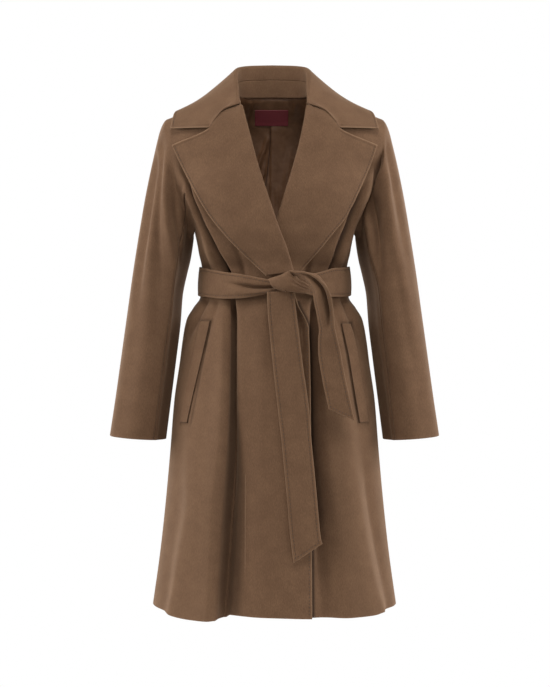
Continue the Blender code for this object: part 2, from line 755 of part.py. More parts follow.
def add_shell(parent):
    """Fronts, back and sleeves, which meet point to point at their seams."""
    fronts = {side: front_grid(side) for side in (RIGHT, LEFT)}
    back = back_grid()
    pieces = []
    for side, word in WORDS.items():
        first, last = UNDER_PANEL
        sleeve = sleeve_grid(side, fronts[side], back)
        middle = sleeve[:, :-1].mean(axis=1)[:, None]
        outward = grid_normals(sleeve, sleeve - middle)
        pieces.append((f"front_{word}", fronts[side], grid_normals(fronts[side], (0, -1, 0))))
        for label, cut in (("front", slice(0, first + 1)), ("under", slice(first, last + 1)),
                           ("back", slice(last, None))):
            pieces.append((f"sleeve_{label}_{word}", sleeve[:, cut], outward[:, cut]))
    pieces.append(("back", back, grid_normals(back, (0, 1, 0))))
    shared = share_normals([p[1] for p in pieces], [p[2] for p in pieces])
    for (name, grid, _), normals in zip(pieces, shared):
        if not name.startswith("sleeve"):
            level_seam_normals(grid, normals)
        wall(name, grid, normals, CLOTH, "wool", parent)
    return fronts, back


def add_lining(back, parent):
    """Back lining down to the belt, made of the back's points moved in, and its label."""
    facing = grid_normals(back, (0, 1, 0))[:BELT_ROW + 1]
    inside = back[:BELT_ROW + 1] - facing * (CLOTH + LINING_CLEARANCE)
    inside = drawn_in(inside, LINING_MARGIN)
    wall("lining_back", inside, facing, LINING, "lining", parent)
    x = LABEL_CENTRE[0] + LABEL_SIZE[0] * np.linspace(-0.5, 0.5, 5)
    z = LABEL_CENTRE[1] + LABEL_SIZE[1] * np.linspace(0.5, -0.5, 3)
    label = on_panel(inside - facing * LINING, x[None], z[:, None])
    normals = grid_normals(label, (0, -1, 0))
    wall("neck_label", label + normals * 2 * LINING, normals, LINING, "label", parent)


def add_welts(fronts, parent):
    for side, word in WORDS.items():
        line = WELTS[side]
        heights = ROWS["outer"]
        crossed = heights[(heights < line["z"][0] - MM) & (heights > line["z"][1] + MM)]
        z = np.concatenate([line["z"][:1], crossed, line["z"][1:]])[:, None]
        down = (z - line["z"][0]) / (line["z"][1] - line["z"][0])
        x = line["x"][0] + (line["x"][1] - line["x"][0]) * down
        across = np.linspace(-1, 1, WELT_POINTS)[None] * WELT_HALF_WIDTH
        grid = on_panel(fronts[side], x + across, z + 0 * across)
        normals = grid_normals(grid, (0, -1, 0))
        grid = grid + normals * (FOLDED_CLOTH + WELT_CLEARANCE[side])
        wall(f"welt_{word}", grid, normals, FOLDED_CLOTH, "wool", parent)


def add_front_trim(parent):
    """Lapels, collar, belt, knot and the belt's two ends."""
    for side, word in WORDS.items():
        lapel = lapel_grid(side)
        normals = grid_normals(lapel, (0, -1, 0))
        wall(f"lapel_{word}", lapel, normals, FOLDED_CLOTH, "wool", parent)
    collar = collar_grids()
    normals = [grid_normals(grid, (0, 0, 0)) for grid in collar]
    normals = [n if n[len(n) // 2, 0, 1] < 0 else -n for n in normals]
    for name, grid, facing in zip(("collar_stand", "collar_leaf"), collar,
                                  share_normals(collar, normals)):
        wall(name, grid, facing, CLOTH, "wool", parent)
    band = belt_grid()
    wall("belt_band", band, grid_normals(band, band), FOLDED_CLOTH, "wool", parent)
    oval_path("belt_knot", KNOT, "wool", parent)
    for name, source, rows in (("belt_tail_long", LONG_TAIL, 12),
                               ("belt_tail_short", SHORT_TAIL, 14)):
        grid = strip_grid(source, rows)
        wall(name, grid, grid_normals(grid, (0, -1, 0)), FOLDED_CLOTH, "wool", parent)


def main():
    for item in list(bpy.data.objects):
        bpy.data.objects.remove(item, do_unlink=True)
    coat = bpy.data.objects.new("coat", None)
    bpy.context.collection.objects.link(coat)
    fronts, back = add_shell(coat)
    add_lining(back, coat)
    add_welts(fronts, coat)
    add_front_trim(coat)


main()
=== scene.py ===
# Wool wrap coat, filled out as it is worn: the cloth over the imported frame.
# Every piece of cloth is a surface worked out over a grid, then given its thickness inwards.
# Tables are in millimetres and turn to metres as they are read.

import json

import bpy
import numpy as np
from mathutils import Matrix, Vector

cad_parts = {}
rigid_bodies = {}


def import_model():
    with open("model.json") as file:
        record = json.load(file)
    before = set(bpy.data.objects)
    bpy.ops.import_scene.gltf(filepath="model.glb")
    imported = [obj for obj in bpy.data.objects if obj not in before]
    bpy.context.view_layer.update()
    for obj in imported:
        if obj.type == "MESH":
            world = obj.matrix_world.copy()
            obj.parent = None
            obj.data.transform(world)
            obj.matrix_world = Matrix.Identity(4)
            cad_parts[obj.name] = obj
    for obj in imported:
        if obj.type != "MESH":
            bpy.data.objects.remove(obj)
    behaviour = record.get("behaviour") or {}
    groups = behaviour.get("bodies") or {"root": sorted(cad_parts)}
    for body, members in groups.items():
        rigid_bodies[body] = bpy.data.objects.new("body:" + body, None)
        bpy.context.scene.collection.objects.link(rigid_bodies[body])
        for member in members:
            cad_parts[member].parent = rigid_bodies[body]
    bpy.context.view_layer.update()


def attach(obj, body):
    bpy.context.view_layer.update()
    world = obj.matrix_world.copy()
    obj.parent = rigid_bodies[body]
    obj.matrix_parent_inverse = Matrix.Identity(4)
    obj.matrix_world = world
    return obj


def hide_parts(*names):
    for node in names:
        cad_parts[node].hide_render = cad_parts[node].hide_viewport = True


mm = 0.001
right, left = -1, 1      # the wearer's sides, as signs of X
sideName = {right: "right", left: "left"}
for item in list(bpy.data.objects):     # Blender's own first objects
    bpy.data.objects.remove(item)
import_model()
print("frame loaded")


def columns(names, *rows):      # a short table in millimetres, as named columns in metres
    values = np.array(rows, dtype=float) * mm
    return {name: values[:, i] for i, name in enumerate(names.split())}


def ease(t):                    # 0 to 1 with level ends
    t = np.clip(t, 0, 1)
    return t * t * (3 - 2 * t)


def bell(away):                 # 1 on the line, under a fiftieth at twice the reach
    return np.exp(-(away**2))


def cubic(t, start, startSlope, end, endSlope):     # through two ends, with their slopes
    return ((2 * t**3 - 3 * t**2 + 1) * start + (t**3 - 2 * t**2 + t) * startSlope
            + (3 * t**2 - 2 * t**3) * end + (t**3 - t**2) * endSlope)


# Cubic pieces through given values; each slope is the harmonic mean of its neighbours, or
# level where they turn, so the curve never overshoots.
def flow(at, keys, values):
    keys, values = np.asarray(keys, dtype=float), np.asarray(values, dtype=float)
    at = np.clip(np.asarray(at, dtype=float), keys[0], keys[-1])
    steps = np.diff(keys)
    slopes = np.diff(values) / steps
    product, total = slopes[:-1] * slopes[1:], slopes[:-1] + slopes[1:]
    middle = np.where(product > 0, 2 * product / np.where(total == 0, 1, total), 0)
    tangents = np.concatenate([slopes[:1], middle, slopes[-1:]])
    i = np.clip(np.searchsorted(keys, at, side="right") - 1, 0, len(keys) - 2)
    return cubic((at - keys[i]) / steps[i], values[i], steps[i] * tangents[i],
                 values[i + 1], steps[i] * tangents[i + 1])


def readDown(table, name, z):       # a column of a table that goes down by height z
    return flow(-z, -table["z"], table[name])


def readAlong(table, names, at):    # columns of a table, from 0 at its first row to 1 at its last
    read = [flow(at, np.linspace(0, 1, len(table[name])), table[name]) for name in names.split()]
    return read[0] if len(read) == 1 else np.stack(read, axis=-1)


# Even steps from 0 to 1 over a length, with closer lines beside an end that is rounded or
# also stitched, at these distances in millimetres.
closeLines = {"": (), "rounded": (0.5, 1.1, 1.9), "stitched": (0.5, 1.1, 1.9, 4.8, 5.5, 6, 6.5, 7.2)}


def gridLines(count, length, start="", end=""):
    first = np.array(closeLines[start]) * mm / length
    last = 1 - np.array(closeLines[end]) * mm / length
    added = np.concatenate([first, last])
    inside = np.linspace(0, 1, count + 1)[1:-1]
    if len(added):
        clear = np.abs(inside[:, None] - added).min(axis=1) > 0.6 * mm / length
        inside = inside[clear]
    return np.sort(np.concatenate([[0], inside, added, [1]]))


# The form that the coat is cut for. The chest is squarer than an oval, most between its top
# and the waist; the laps are those of the right front over the left.
body = {
    "neckHalfWidth": 72 * mm,
    "neckHeight": 12 * mm,
    "backNeckHeight": 19 * mm,
    "shoulderHalfWidth": 210 * mm,
    "shoulderDrop": 50 * mm,
    "shoulderRounding": 66 * mm,
    "napeRise": 60 * mm,
    "squareness": 1.1,
    "chestTop": -130 * mm,
    "chestFade": 90 * mm,
    "waist": -338 * mm,
    "waistFade": 40 * mm,
    "foldFade": 0.7,
    "lapTop": -160 * mm,
    "lapFade": 110 * mm,
    "overlapLift": 6 * mm,
    "overlapReach": 60 * mm,
    "underlapDepth": 9 * mm,
    "underlapEnd": 150 * mm,
    "underlapReach": 100 * mm,
    "hemTop": -880 * mm,
    "hemFade": 100 * mm,
    "cloth": 2.4 * mm,
    "foldedCloth": 3.6 * mm,
}

bodyRings = columns(
    "z half front back",
    (60, 252, 60, 62), (19, 252, 66, 64), (-30, 250, 88, 92), (-60, 245, 98, 105),
    (-100, 235, 108, 116), (-150, 214, 117, 122), (-195, 192, 124, 122), (-235, 168, 127, 116),
    (-262, 157, 127, 112), (-300, 149, 121, 102), (-333, 143, 114, 95), (-388, 146, 114, 95),
    (-410, 160, 119, 103), (-433, 173, 124, 112), (-473, 181, 129, 121), (-520, 187, 134, 128),
    (-590, 197, 141, 136), (-690, 205, 149, 143), (-790, 214, 156, 148), (-890, 225, 162, 152),
    (-990, 239, 168, 156),
)

# Lines across a front or back, by their height at the inner and the outer edge. The first
# eight run from the neck and shoulder to the underarm, the rest are level.
crossLines = columns(
    "front back outer",
    (12, 19, -38), (-16, -6, -57), (-50, -40, -87), (-85, -80, -120), (-125, -120, -155),
    (-165, -160, -193), (-203, -200, -220), (-235, -235, -243),
    *((z, z, z) for z in (-262, -298, -333, -361, -388, -410, -433, -473, -525, -595, -690, -790,
                          -890, -990)),
)
gussetLine, underarmLine, beltLine, lastLine = 5, 8, 10, 21

armhole = columns(
    "z right left",
    (-38, 210, 210), (-57, 213, 213), (-87, 202, 210), (-136, 184, 205), (-175, 172, 198),
    (-193, 170, 186), (-240, 160, 164), (-262, 157, 157),
)

# X of each front's inner edge: the lapel's roll line, then the free edge below the belt.
frontEdge = columns(
    "z right left",
    (12, -72, 72), (-16, -65.5, 64.5), (-104, -45, 50), (-143, -34.5, 39.5), (-178, -24, 29),
    (-259, 3.5, 4), (-303, 20.5, -10), (-341, 31.5, -23.5), (-388, 38, -36), (-405, 43, -42),
    (-453, 63, -52), (-572, 66, -56), (-868, 68, -58), (-990, 68.5, -58),
)

# How far the hem dips below its level line, by X.
hemDip = columns(
    "x drop",
    (-242, 0), (-212, 0.5), (-193, 4), (-150, 8), (-112, 7), (-98, 1), (-50, -2), (20, -1), (66, 1),
    (100, 2), (145, 5), (180, 4), (207, 0.5), (242, 0),
)


def shoulderSlope(x):       # the shoulder seam, carried on towards the centre
    reach = (np.abs(x) - body["neckHalfWidth"]) / (body["shoulderHalfWidth"] - body["neckHalfWidth"])
    return body["neckHeight"] - body["shoulderDrop"] * reach


def backNeckLine(x):        # the back's top edge: a shallow curve at the neck, then the seam
    dip = body["backNeckHeight"] - body["neckHeight"]
    neck = body["backNeckHeight"] - dip * (x / body["neckHalfWidth"]) ** 2
    return np.where(np.abs(x) < body["neckHalfWidth"], neck, shoulderSlope(x))


# 0 on the line where front turns into back, growing along a quarter circle to 1 below it.
def shoulderRound(x, z):
    nape = body["neckHeight"] + body["napeRise"] * (1 - (x / body["neckHalfWidth"]) ** 2)
    roof = np.where(np.abs(x) < body["neckHalfWidth"], nape, shoulderSlope(x))
    fall = np.clip((roof - z) / body["shoulderRounding"], 0, 1)
    return np.sqrt(1 - (1 - fall) ** 2)


# Each fold is a line down the cloth: height, X, reach to -X and to +X, and depth, which is
# negative for a ridge.
frontFolds = {
    right: [
        # from under the lapel down to the belt, the deepest fold of the bodice
        [(-128, -178, 6, 5, 0), (-160, -173, 6, 5, 12), (-190, -161, 9, 5, 29), (-225, -146, 11, 5, 42),
         (-257, -131, 12, 6, 47), (-300, -108, 12, 6, 45), (-345, -85, 10, 6, 35), (-392, -76, 8, 8, 0)],
        # a short one beside it, drawn in by the belt
        [(-268, -84, 6, 7, 0), (-305, -70, 6, 7, 4), (-340, -60, 6, 6, 6), (-392, -56, 7, 7, 0)],
        # the front's crisp edge beside the armhole seam, and the seam itself, drawn in
        [(-100, -199, 5, 7, 0), (-149, -182, 4, 6, -8), (-191, -169, 4, 6, -13),
         (-240, -151, 4, 6, -16), (-271, -137, 5, 7, -14), (-315, -122, 7, 8, -10),
         (-352, -110, 8, 9, 0)],
        [(-165, -176, 5, 5, 0), (-195, -176, 5, 4, 10), (-225, -169, 5, 5, 18), (-250, -162, 5, 5, 18),
         (-280, -153, 6, 6, 8), (-310, -146, 7, 7, 0)],
        [(-262, -146, 5, 5, 0), (-300, -138, 5, 5, 4), (-345, -124, 5, 5, 5), (-392, -122, 7, 7, 0)],
        # the inverted fold that opens under the belt and runs to the hem, with its recess
        [(-372, -86, 4, 6, 0), (-392, -86, 4, 7, 26), (-440, -87, 3, 11, 30), (-560, -88.5, 3, 11, 26),
         (-684, -93, 2.5, 11, 15), (-771, -100, 2.5, 12, 10), (-883, -106.5, 2.5, 12, 6),
         (-992, -112.5, 2.5, 12, 5)],
        [(-380, -87, 5, 12, 0), (-440, -88, 4, 14, 4), (-560, -89.5, 3, 17, 12),
         (-684, -94, 2.5, 30, 33), (-771, -101, 2.5, 38, 42), (-883, -107.5, 2.5, 42, 42),
         (-992, -113.5, 2.5, 44, 38)],
        # the cloth beside it rides forward over it, steep towards it
        [(-388, -98, 16, 6, 0), (-440, -98, 22, 5, -4), (-560, -93.5, 34, 3, -10),
         (-684, -98.5, 34, 2.5, -16), (-771, -105.5, 32, 2.5, -18), (-883, -112, 36, 2.5, -18),
         (-992, -118, 40, 2.5, -17)],
        # a long ridge towards the side, steep outwards
        [(-500, -150, 20, 18, 0), (-600, -151, 22, 24, -7), (-680, -152, 24, 28, -14),
         (-774, -149, 24, 30, -19), (-887, -167, 22, 32, -20), (-962, -181, 18, 34, -19),
         (-992, -188, 18, 34, -18)],
        # from under the belt out over the hip
        [(-386, -130, 6, 6, 0), (-400, -136, 6, 7, 13), (-435, -154, 7, 8, 15), (-475, -172, 8, 9, 9),
         (-530, -184, 8, 9, 0)],
        [(-388, -108, 6, 6, 0), (-404, -112, 6, 7, 6), (-450, -122, 8, 8, 4), (-510, -132, 9, 9, 0)],
        # beside the free edge, behind the belt's long end
        [(-385, 24, 7, 6, 0), (-410, 40, 7, 6, 10), (-470, 53, 8, 5, 10), (-600, 55, 10, 6, 7),
         (-760, 56, 13, 6, 3), (-900, 57, 13, 6, 0)],
        # a soft hollow in the middle of the skirt
        [(-400, -8, 9, 9, 0), (-430, -8, 10, 10, 4), (-560, -6, 16, 16, 3), (-760, -4, 22, 22, 3),
         (-992, -4, 26, 26, 3)],
    ],
    left: [
        [(-165, 178, 6, 5, 0), (-202, 162, 6, 8, 28), (-230, 147, 6, 11, 42), (-258, 136, 6, 12, 48),
         (-286, 126, 6, 12, 47), (-314, 117, 6, 11, 43), (-340, 108, 6, 10, 33), (-392, 98, 8, 8, 0)],
        [(-286, 84, 6, 6, 0), (-320, 70, 6, 6, 4), (-345, 64, 6, 6, 5), (-392, 60, 7, 7, 0)],
        [(-135, 190, 6, 4, 0), (-163, 184, 6, 4, -9), (-180, 182, 6, 4, -11), (-215, 170, 6, 4, -14),
         (-255, 154, 6, 4, -15), (-310, 136, 8, 6, -9), (-350, 122, 9, 8, 0)],
        [(-165, 194, 5, 5, 0), (-195, 186, 4, 5, 11), (-225, 177, 5, 5, 18), (-250, 165, 5, 5, 18),
         (-280, 155, 6, 6, 8), (-310, 146, 7, 7, 0)],
        [(-272, 146, 5, 5, 0), (-305, 140, 5, 5, 3), (-345, 130, 5, 5, 5), (-392, 122, 7, 7, 0)],
        # over the hip, with a shallower one beside it
        [(-386, 131, 6, 6, 0), (-400, 137, 7, 6, 13), (-435, 152, 8, 7, 15), (-475, 167, 9, 8, 9),
         (-530, 180, 9, 8, 0)],
        [(-388, 113, 6, 6, 0), (-410, 118, 6, 7, 8), (-450, 128, 7, 8, 5), (-500, 138, 8, 8, 0)],
        # beside the belt's ends, from the belt to low in the skirt
        [(-380, 86, 9, 8, 0), (-410, 84, 9, 9, 22), (-500, 81, 8, 9, 38), (-620, 79, 8, 10, 48),
         (-680, 80, 8, 11, 50), (-774, 86, 8, 12, 48), (-860, 92, 11, 18, 20), (-992, 96, 18, 28, 6)],
        # the ridge that runs out to the side
        [(-440, 126, 14, 9, 0), (-560, 132, 20, 9, -6), (-679, 133, 26, 24, -17),
         (-773, 144, 30, 24, -23), (-885, 162, 34, 24, -24), (-975, 188, 36, 20, -22),
         (-992, 200, 36, 9, -17)],
        [(-640, 164, 10, 10, 0), (-800, 184, 10, 10, 7), (-992, 222, 10, 10, 7)],
    ],
}

backFolds = [
    [(-120, -96, 14, 12, 0), (-190, -78, 14, 13, 9), (-260, -62, 13, 12, 16), (-335, -50, 11, 10, 13),
     (-385, -48, 10, 10, 0)],
    [(-150, 84, 12, 14, 0), (-220, 66, 12, 14, 9), (-285, 54, 12, 12, 15), (-335, 46, 10, 11, 11),
     (-385, 44, 10, 10, 0)],
    [(-210, -6, 12, 12, 0), (-280, -3, 11, 12, 5), (-335, 0, 10, 10, 7), (-385, 0, 9, 9, 0)],
    [(-200, -128, 10, 10, 0), (-270, -112, 10, 11, 8), (-335, -98, 10, 10, 8), (-385, -96, 9, 9, 0)],
    [(-205, 134, 10, 10, 0), (-262, 116, 11, 10, 9), (-335, 102, 10, 10, 7), (-385, 100, 9, 9, 0)],
    # below the belt: two long folds, a ridge between them, and shorter ones at the hips
    [(-378, -50, 9, 9, 0), (-410, -52, 10, 12, 15), (-560, -58, 16, 18, 17), (-760, -68, 22, 24, 13),
     (-992, -80, 26, 28, 9)],
    [(-378, 42, 9, 9, 0), (-410, 44, 11, 10, 13), (-540, 50, 17, 15, 15), (-720, 58, 22, 20, 12),
     (-992, 70, 28, 26, 8)],
    [(-395, 0, 16, 16, 0), (-520, 2, 22, 20, -5), (-760, -2, 28, 28, -7), (-992, -4, 32, 32, -6)],
    [(-384, 112, 9, 9, 0), (-420, 120, 10, 11, 10), (-520, 134, 14, 14, 10), (-680, 146, 18, 17, 6),
     (-900, 160, 20, 20, 0)],
    [(-384, -116, 9, 9, 0), (-425, -124, 11, 10, 9), (-500, -136, 14, 14, 9), (-640, -148, 18, 18, 5),
     (-820, -160, 20, 20, 0)],
    [(-600, -118, 16, 16, 0), (-800, -128, 20, 20, -6), (-992, -142, 24, 22, -8)],
    [(-560, 100, 15, 16, 0), (-780, 112, 20, 20, -6), (-992, 126, 24, 24, -8)],
]

# Where a fold laps over itself the cloth also slips sideways, by a bell round a line of
# height, X, reach and slip.
frontLaps = {
    right: [[(-385, -88, 5.5, 0), (-400, -90, 5.5, 7), (-560, -92.5, 6, 8), (-684, -97.5, 6.5, 9),
             (-771, -104.5, 7, 10), (-883, -111, 7, 10), (-992, -117, 7, 10)],
            [(-165, -164, 5, 0), (-195, -149, 5.5, -6), (-225, -132, 6.5, -10), (-257, -117, 6.5, -11),
             (-300, -95, 6.5, -11), (-345, -76, 6.5, -8), (-390, -70, 6, 0)]],
    left: [[(-170, 162, 5, 0), (-202, 148, 5.5, 7), (-230, 131, 6.5, 10), (-258, 120, 6.5, 11),
            (-286, 108, 6.5, 11), (-314, 99, 6.5, 11), (-345, 91, 6.5, 8), (-390, 88, 6, 0)]],
}


def slipped(grid, laps):        # X + slip x bell of the distance from the line
    x, z = grid[..., 0], grid[..., 2]
    moved = grid.copy()
    for rows in laps:
        lap = columns("z x reach slip", *rows)
        moved[..., 0] += readDown(lap, "slip", z) * bell((x - readDown(lap, "x", z))
                                                         / readDown(lap, "reach", z))
    return moved


# Sum over the folds of depth x a bell of the distance from the fold's line.
def foldDepth(folds, x, z):
    total = np.zeros(np.broadcast(x, z).shape)
    for rows in folds:
        fold = columns("z x toMinus toPlus depth", *rows)
        away = x - readDown(fold, "x", z)
        reach = np.where(away < 0, readDown(fold, "toMinus", z), readDown(fold, "toPlus", z))
        total = total + readDown(fold, "depth", z) * bell(away / reach)
    return total


# A ring's point at X: Y = depth x (1 - |x / half width|^power)^(1 / power), where power is 2,
# or up to 3.1 over the chest. The lift and the fold depth x facing^0.7 go along the ring's
# own outward direction, where facing is 1 in the middle and 0 at the side.
def ringPoint(x, z, facingY, depthName, folds, lift):
    across = np.clip(x / readDown(bodyRings, "half", z), -1, 1)
    facing = np.sqrt(1 - across**2)
    out = lift - foldDepth(folds, x, z) * facing ** body["foldFade"] if folds else lift + 0 * x
    power = 2.0
    if facingY < 0:
        power = power + (body["squareness"] * ease((body["chestTop"] - z) / body["chestFade"])
                         * ease((z - body["waist"]) / body["waistFade"]))
    full = (1 - np.abs(across) ** power) ** (1 / power)
    y = readDown(bodyRings, depthName, z) * full * shoulderRound(x, z) + facing * out
    return np.stack(np.broadcast_arrays(x + across * out, facingY * y, z), axis=-1)


def frontPoint(x, z, side=None, lift=0.0):      # with that side's folds, or plain without one
    return ringPoint(x, z, -1, "front", frontFolds[side] if side else None, lift)


def backPoint(x, z, folds):     # the same on the ring's back half
    return ringPoint(x, z, 1, "back", folds, 0.0)


# The right front stands proud where it crosses the left one, which lies back under it.
def overlapLift(side, x, z):
    low = ease((body["lapTop"] - z) / body["lapFade"])
    if side == right:
        reach = body["overlapReach"]
        return body["overlapLift"] * ease((x + reach) / reach) * low
    return -body["underlapDepth"] * ease((body["underlapEnd"] - x) / body["underlapReach"]) * low


def outerEdge(side, z):     # the armhole line, then the side seam
    hole = readDown(armhole, sideName[side], z)
    return side * np.where(z < armhole["z"][-1], readDown(bodyRings, "half", z), hole)


def gridNormals(grid, outward):     # unit normals, turned to agree with a rough outward direction
    normals = np.cross(np.gradient(grid, axis=0), np.gradient(grid, axis=1))
    normals /= np.maximum(np.linalg.norm(normals, axis=-1), 1e-12)[..., None]
    return normals * (1 if (normals * outward).sum() >= 0 else -1)


def edgeDistance(grid, side):       # distance over the cloth from one border of the grid
    axis = 0 if side in ("top", "bottom") else 1
    step = np.linalg.norm(np.diff(grid, axis=axis), axis=-1)
    start = np.zeros_like(step.take([0], axis=axis))
    run = np.concatenate([start, np.cumsum(step, axis=axis)], axis=axis)
    return run if side in ("top", "first") else run.take([-1], axis=axis) - run


stitching = {"inset": 6 * mm, "pitch": 6.2 * mm, "length": 4.0 * mm, "width": 1.7 * mm,
             "height": 1.1 * mm, "groove": 0.4 * mm, "grooveReach": 1.3 * mm}
seaming = {"depth": 0.9 * mm, "reach": 1.5 * mm, "wearAndPaintedLight": 0.8}
# Reaches of the painted highlight along a rounded edge, and of the painted shade where an edge is
# darkened instead.
edging = {"highlightReach": 1.7 * mm, "edgeShadeReach": 0.9 * mm}


# Rounds the free borders as a quarter circle of the given radius, presses a groove where stitches run,
# and returns a mark for each point: over 0 on an edge paled as a painted highlight, below 0 in a stitch
# groove and on an edge darkened as painted shade, where the edge amount is negative. A border that is
# only partly free has a weight for each point along it.
def finished(grid, normals, rounded, stitched=(), radius=1.3 * mm, paintedLight=1.0, press=0.5, free=None):
    sink, wearAndPaintedLight = np.zeros(grid.shape[:2]), np.zeros(grid.shape[:2])
    free = free or {}
    for side in rounded:
        weight = free.get(side, 1.0)
        away = edgeDistance(grid, side)
        short = np.clip(1 - away / radius, 0, 1)
        sink += radius * (1 - np.sqrt(1 - short**2)) * weight
        # An edge is paled as a painted highlight, or darkened as painted shade where the amount is
        # negative.
        lightAndWearMark = paintedLight * weight * bell(away / edging["highlightReach" if paintedLight > 0 else "edgeShadeReach"])
        wearAndPaintedLight = np.maximum(wearAndPaintedLight, lightAndWearMark) if paintedLight > 0 else np.minimum(wearAndPaintedLight, lightAndWearMark)
    for side in stitched:
        groove = free.get(side, 1.0) * bell(
            (edgeDistance(grid, side) - stitching["inset"]) / stitching["grooveReach"])
        sink += stitching["groove"] * groove
        wearAndPaintedLight -= press * groove
    return grid - normals * sink[..., None], wearAndPaintedLight


# Presses a seam into borders, each with its weight: depth x bell of the distance from it.
def seamed(grid, normals, wearAndPaintedLight, borders, depth=seaming["depth"], reach=seaming["reach"], inset=0.0):
    for side, weight in borders.items():
        near = weight * bell((edgeDistance(grid, side) - inset) / reach)
        grid = grid - normals * (depth * near)[..., None]
        wearAndPaintedLight = wearAndPaintedLight - seaming["wearAndPaintedLight"] * near
    return grid, wearAndPaintedLight


def cellNormals(points, cell):      # the cross product of each cell's diagonals
    corner = points[cell]
    return np.cross(corner[:, 2] - corner[:, 0], corner[:, 3] - corner[:, 1])


# One mesh from blocks of grid points; points in the same place are joined, and a cell at a
# pole, with one corner twice, becomes a triangle.
def clothMesh(name, blocks, outward, wearAndPaintedLight):
    points = np.concatenate([block.reshape(-1, 3) for block in blocks])
    faces, start = [], 0
    for block in blocks:
        rows, cols = block.shape[:2]
        index = np.arange(rows * cols).reshape(rows, cols) + start
        cell = np.stack([index[:-1, :-1], index[:-1, 1:], index[1:, 1:], index[1:, :-1]], axis=-1)
        cell = cell.reshape(-1, 4)
        if (cellNormals(points, cell) * outward(points[cell].mean(axis=1))).sum() < 0:
            cell = cell[:, ::-1]
        faces.append(cell)
        start += rows * cols
    keys = np.round(points / (0.002 * mm)).astype(np.int64)
    _, first, joined = np.unique(keys, axis=0, return_index=True, return_inverse=True)
    faces = joined.ravel()[np.concatenate(faces)]
    twice = faces == np.roll(faces, 1, axis=1)
    pole = twice.any(axis=1)
    triangles = faces[pole][~twice[pole]].reshape(-1, 3)
    mesh = bpy.data.meshes.new(name)
    mesh.from_pydata(points[first].tolist(), [], faces[~pole].tolist() + triangles.tolist())
    mesh.shade_smooth()
    # This attribute carries the darker seams together with the painted highlights on edges and fold
    # crests and the painted shade in folds, beside the front's edge, round the welts and down the
    # lining's pleat.
    if wearAndPaintedLight:
        values = np.concatenate([part.ravel() for part in wearAndPaintedLight])[first]
        mesh.attributes.new("wearAndPaintedLight", "FLOAT", "POINT").data.foreach_set("value", values)
    return mesh


# Puts a piece in the scene, with its thickness inwards from the surface that shows.
def place(name, mesh, material, nodes=(), thickness=0.0):
    piece = bpy.data.objects.new(name, mesh)
    bpy.context.scene.collection.objects.link(piece)
    piece.data.materials.append(material)
    if thickness:
        wall = piece.modifiers.new("thickness", "SOLIDIFY")
        wall.thickness = thickness
        wall.offset = -1
        wall.use_rim = True
    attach(piece, "root")
    if nodes:
        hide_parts(*nodes)
    return piece


# A piece of the coat's wool from blocks of grid points.
def woolPiece(name, blocks, outward, wearAndPaintedLight, nodes, thickness=body["cloth"]):
    return place(name, clothMesh(name, blocks, outward, wearAndPaintedLight), felt, nodes, thickness)


def toFront(points):        # rough direction out of the coat's front
    return np.array([0, -1, 0]) + 0 * points


def fromAxis(axisX, sign=1):        # rough direction out from a vertical axis at X, or in to it
    def outward(points):
        return sign * (points - np.array([axisX, 0, 0])) * np.array([1, 1, 0])
    return outward


# The middle, run and upward direction of each stitch in a row along one border, between two
# shares of its length.
def stitchRow(grid, normals, side, start=0.0, end=1.0):
    run = edgeDistance(grid, side)
    if side in ("top", "bottom"):
        grid, normals, run = grid.swapaxes(0, 1), normals.swapaxes(0, 1), run.T
    if run[0, 0] > run[0, -1]:
        grid, normals, run = grid[:, ::-1], normals[:, ::-1], run[:, ::-1]
    j = np.clip((run < stitching["inset"]).sum(axis=1), 1, run.shape[1] - 1)
    i = np.arange(len(run))
    share = ((stitching["inset"] - run[i, j - 1]) / (run[i, j] - run[i, j - 1]))[:, None]
    line = grid[i, j - 1] * (1 - share) + grid[i, j] * share
    up = normals[i, j - 1] * (1 - share) + normals[i, j] * share
    gone = np.concatenate([[0], np.cumsum(np.linalg.norm(np.diff(line, axis=0), axis=1))])
    pitch = stitching["pitch"]
    at = np.arange(start * gone[-1] + pitch, end * gone[-1] - pitch, pitch)

    def read(values, where):
        return np.stack([np.interp(where, gone, values[:, k]) for k in range(3)], axis=-1)

    middle, up = read(line, at), read(up, at)
    ahead = read(line, at + 0.5 * mm) - read(line, at - 0.5 * mm)
    ahead /= np.linalg.norm(ahead, axis=1)[:, None]
    up /= np.linalg.norm(up, axis=1)[:, None]
    return middle, ahead, up


# A stitch is a small spindle of eight faces that lies along the row: each corner is the
# stitch's middle plus its share of half a length ahead, half a width aside and half a height up.
spindle = np.array([(-1, 0, 0), (0, 1, 0), (0, 0, 1), (0, -1, 0), (0, 0, -1), (1, 0, 0)], dtype=float)
spindleFaces = np.array([(0, 2, 1), (0, 3, 2), (0, 4, 3), (0, 1, 4),
                         (5, 1, 2), (5, 2, 3), (5, 3, 4), (5, 4, 1)])


def stitchPiece(name, rows):
    middle, ahead, up = (np.concatenate([row[k] for row in rows]) for k in range(3))
    size = np.array([stitching["length"], stitching["width"], stitching["height"]]) / 2
    axes = np.stack([ahead, np.cross(up, ahead), up], axis=1)
    points = middle[:, None] + (spindle * size) @ axes
    faces = spindleFaces[None] + len(spindle) * np.arange(len(middle))[:, None, None]
    mesh = bpy.data.meshes.new(name)
    mesh.from_pydata(points.reshape(-1, 3).tolist(), [], faces.reshape(-1, 3).tolist())
    mesh.shade_smooth()
    return place(name, mesh, thread)


def hexColour(code):        # sRGB hex to linear
    value = np.array([int(code[i:i + 2], 16) for i in (1, 3, 5)]) / 255
    linear = np.where(value <= 0.04045, value / 12.92, ((value + 0.055) / 1.055) ** 2.4)
    return (*linear.tolist(), 1.0)


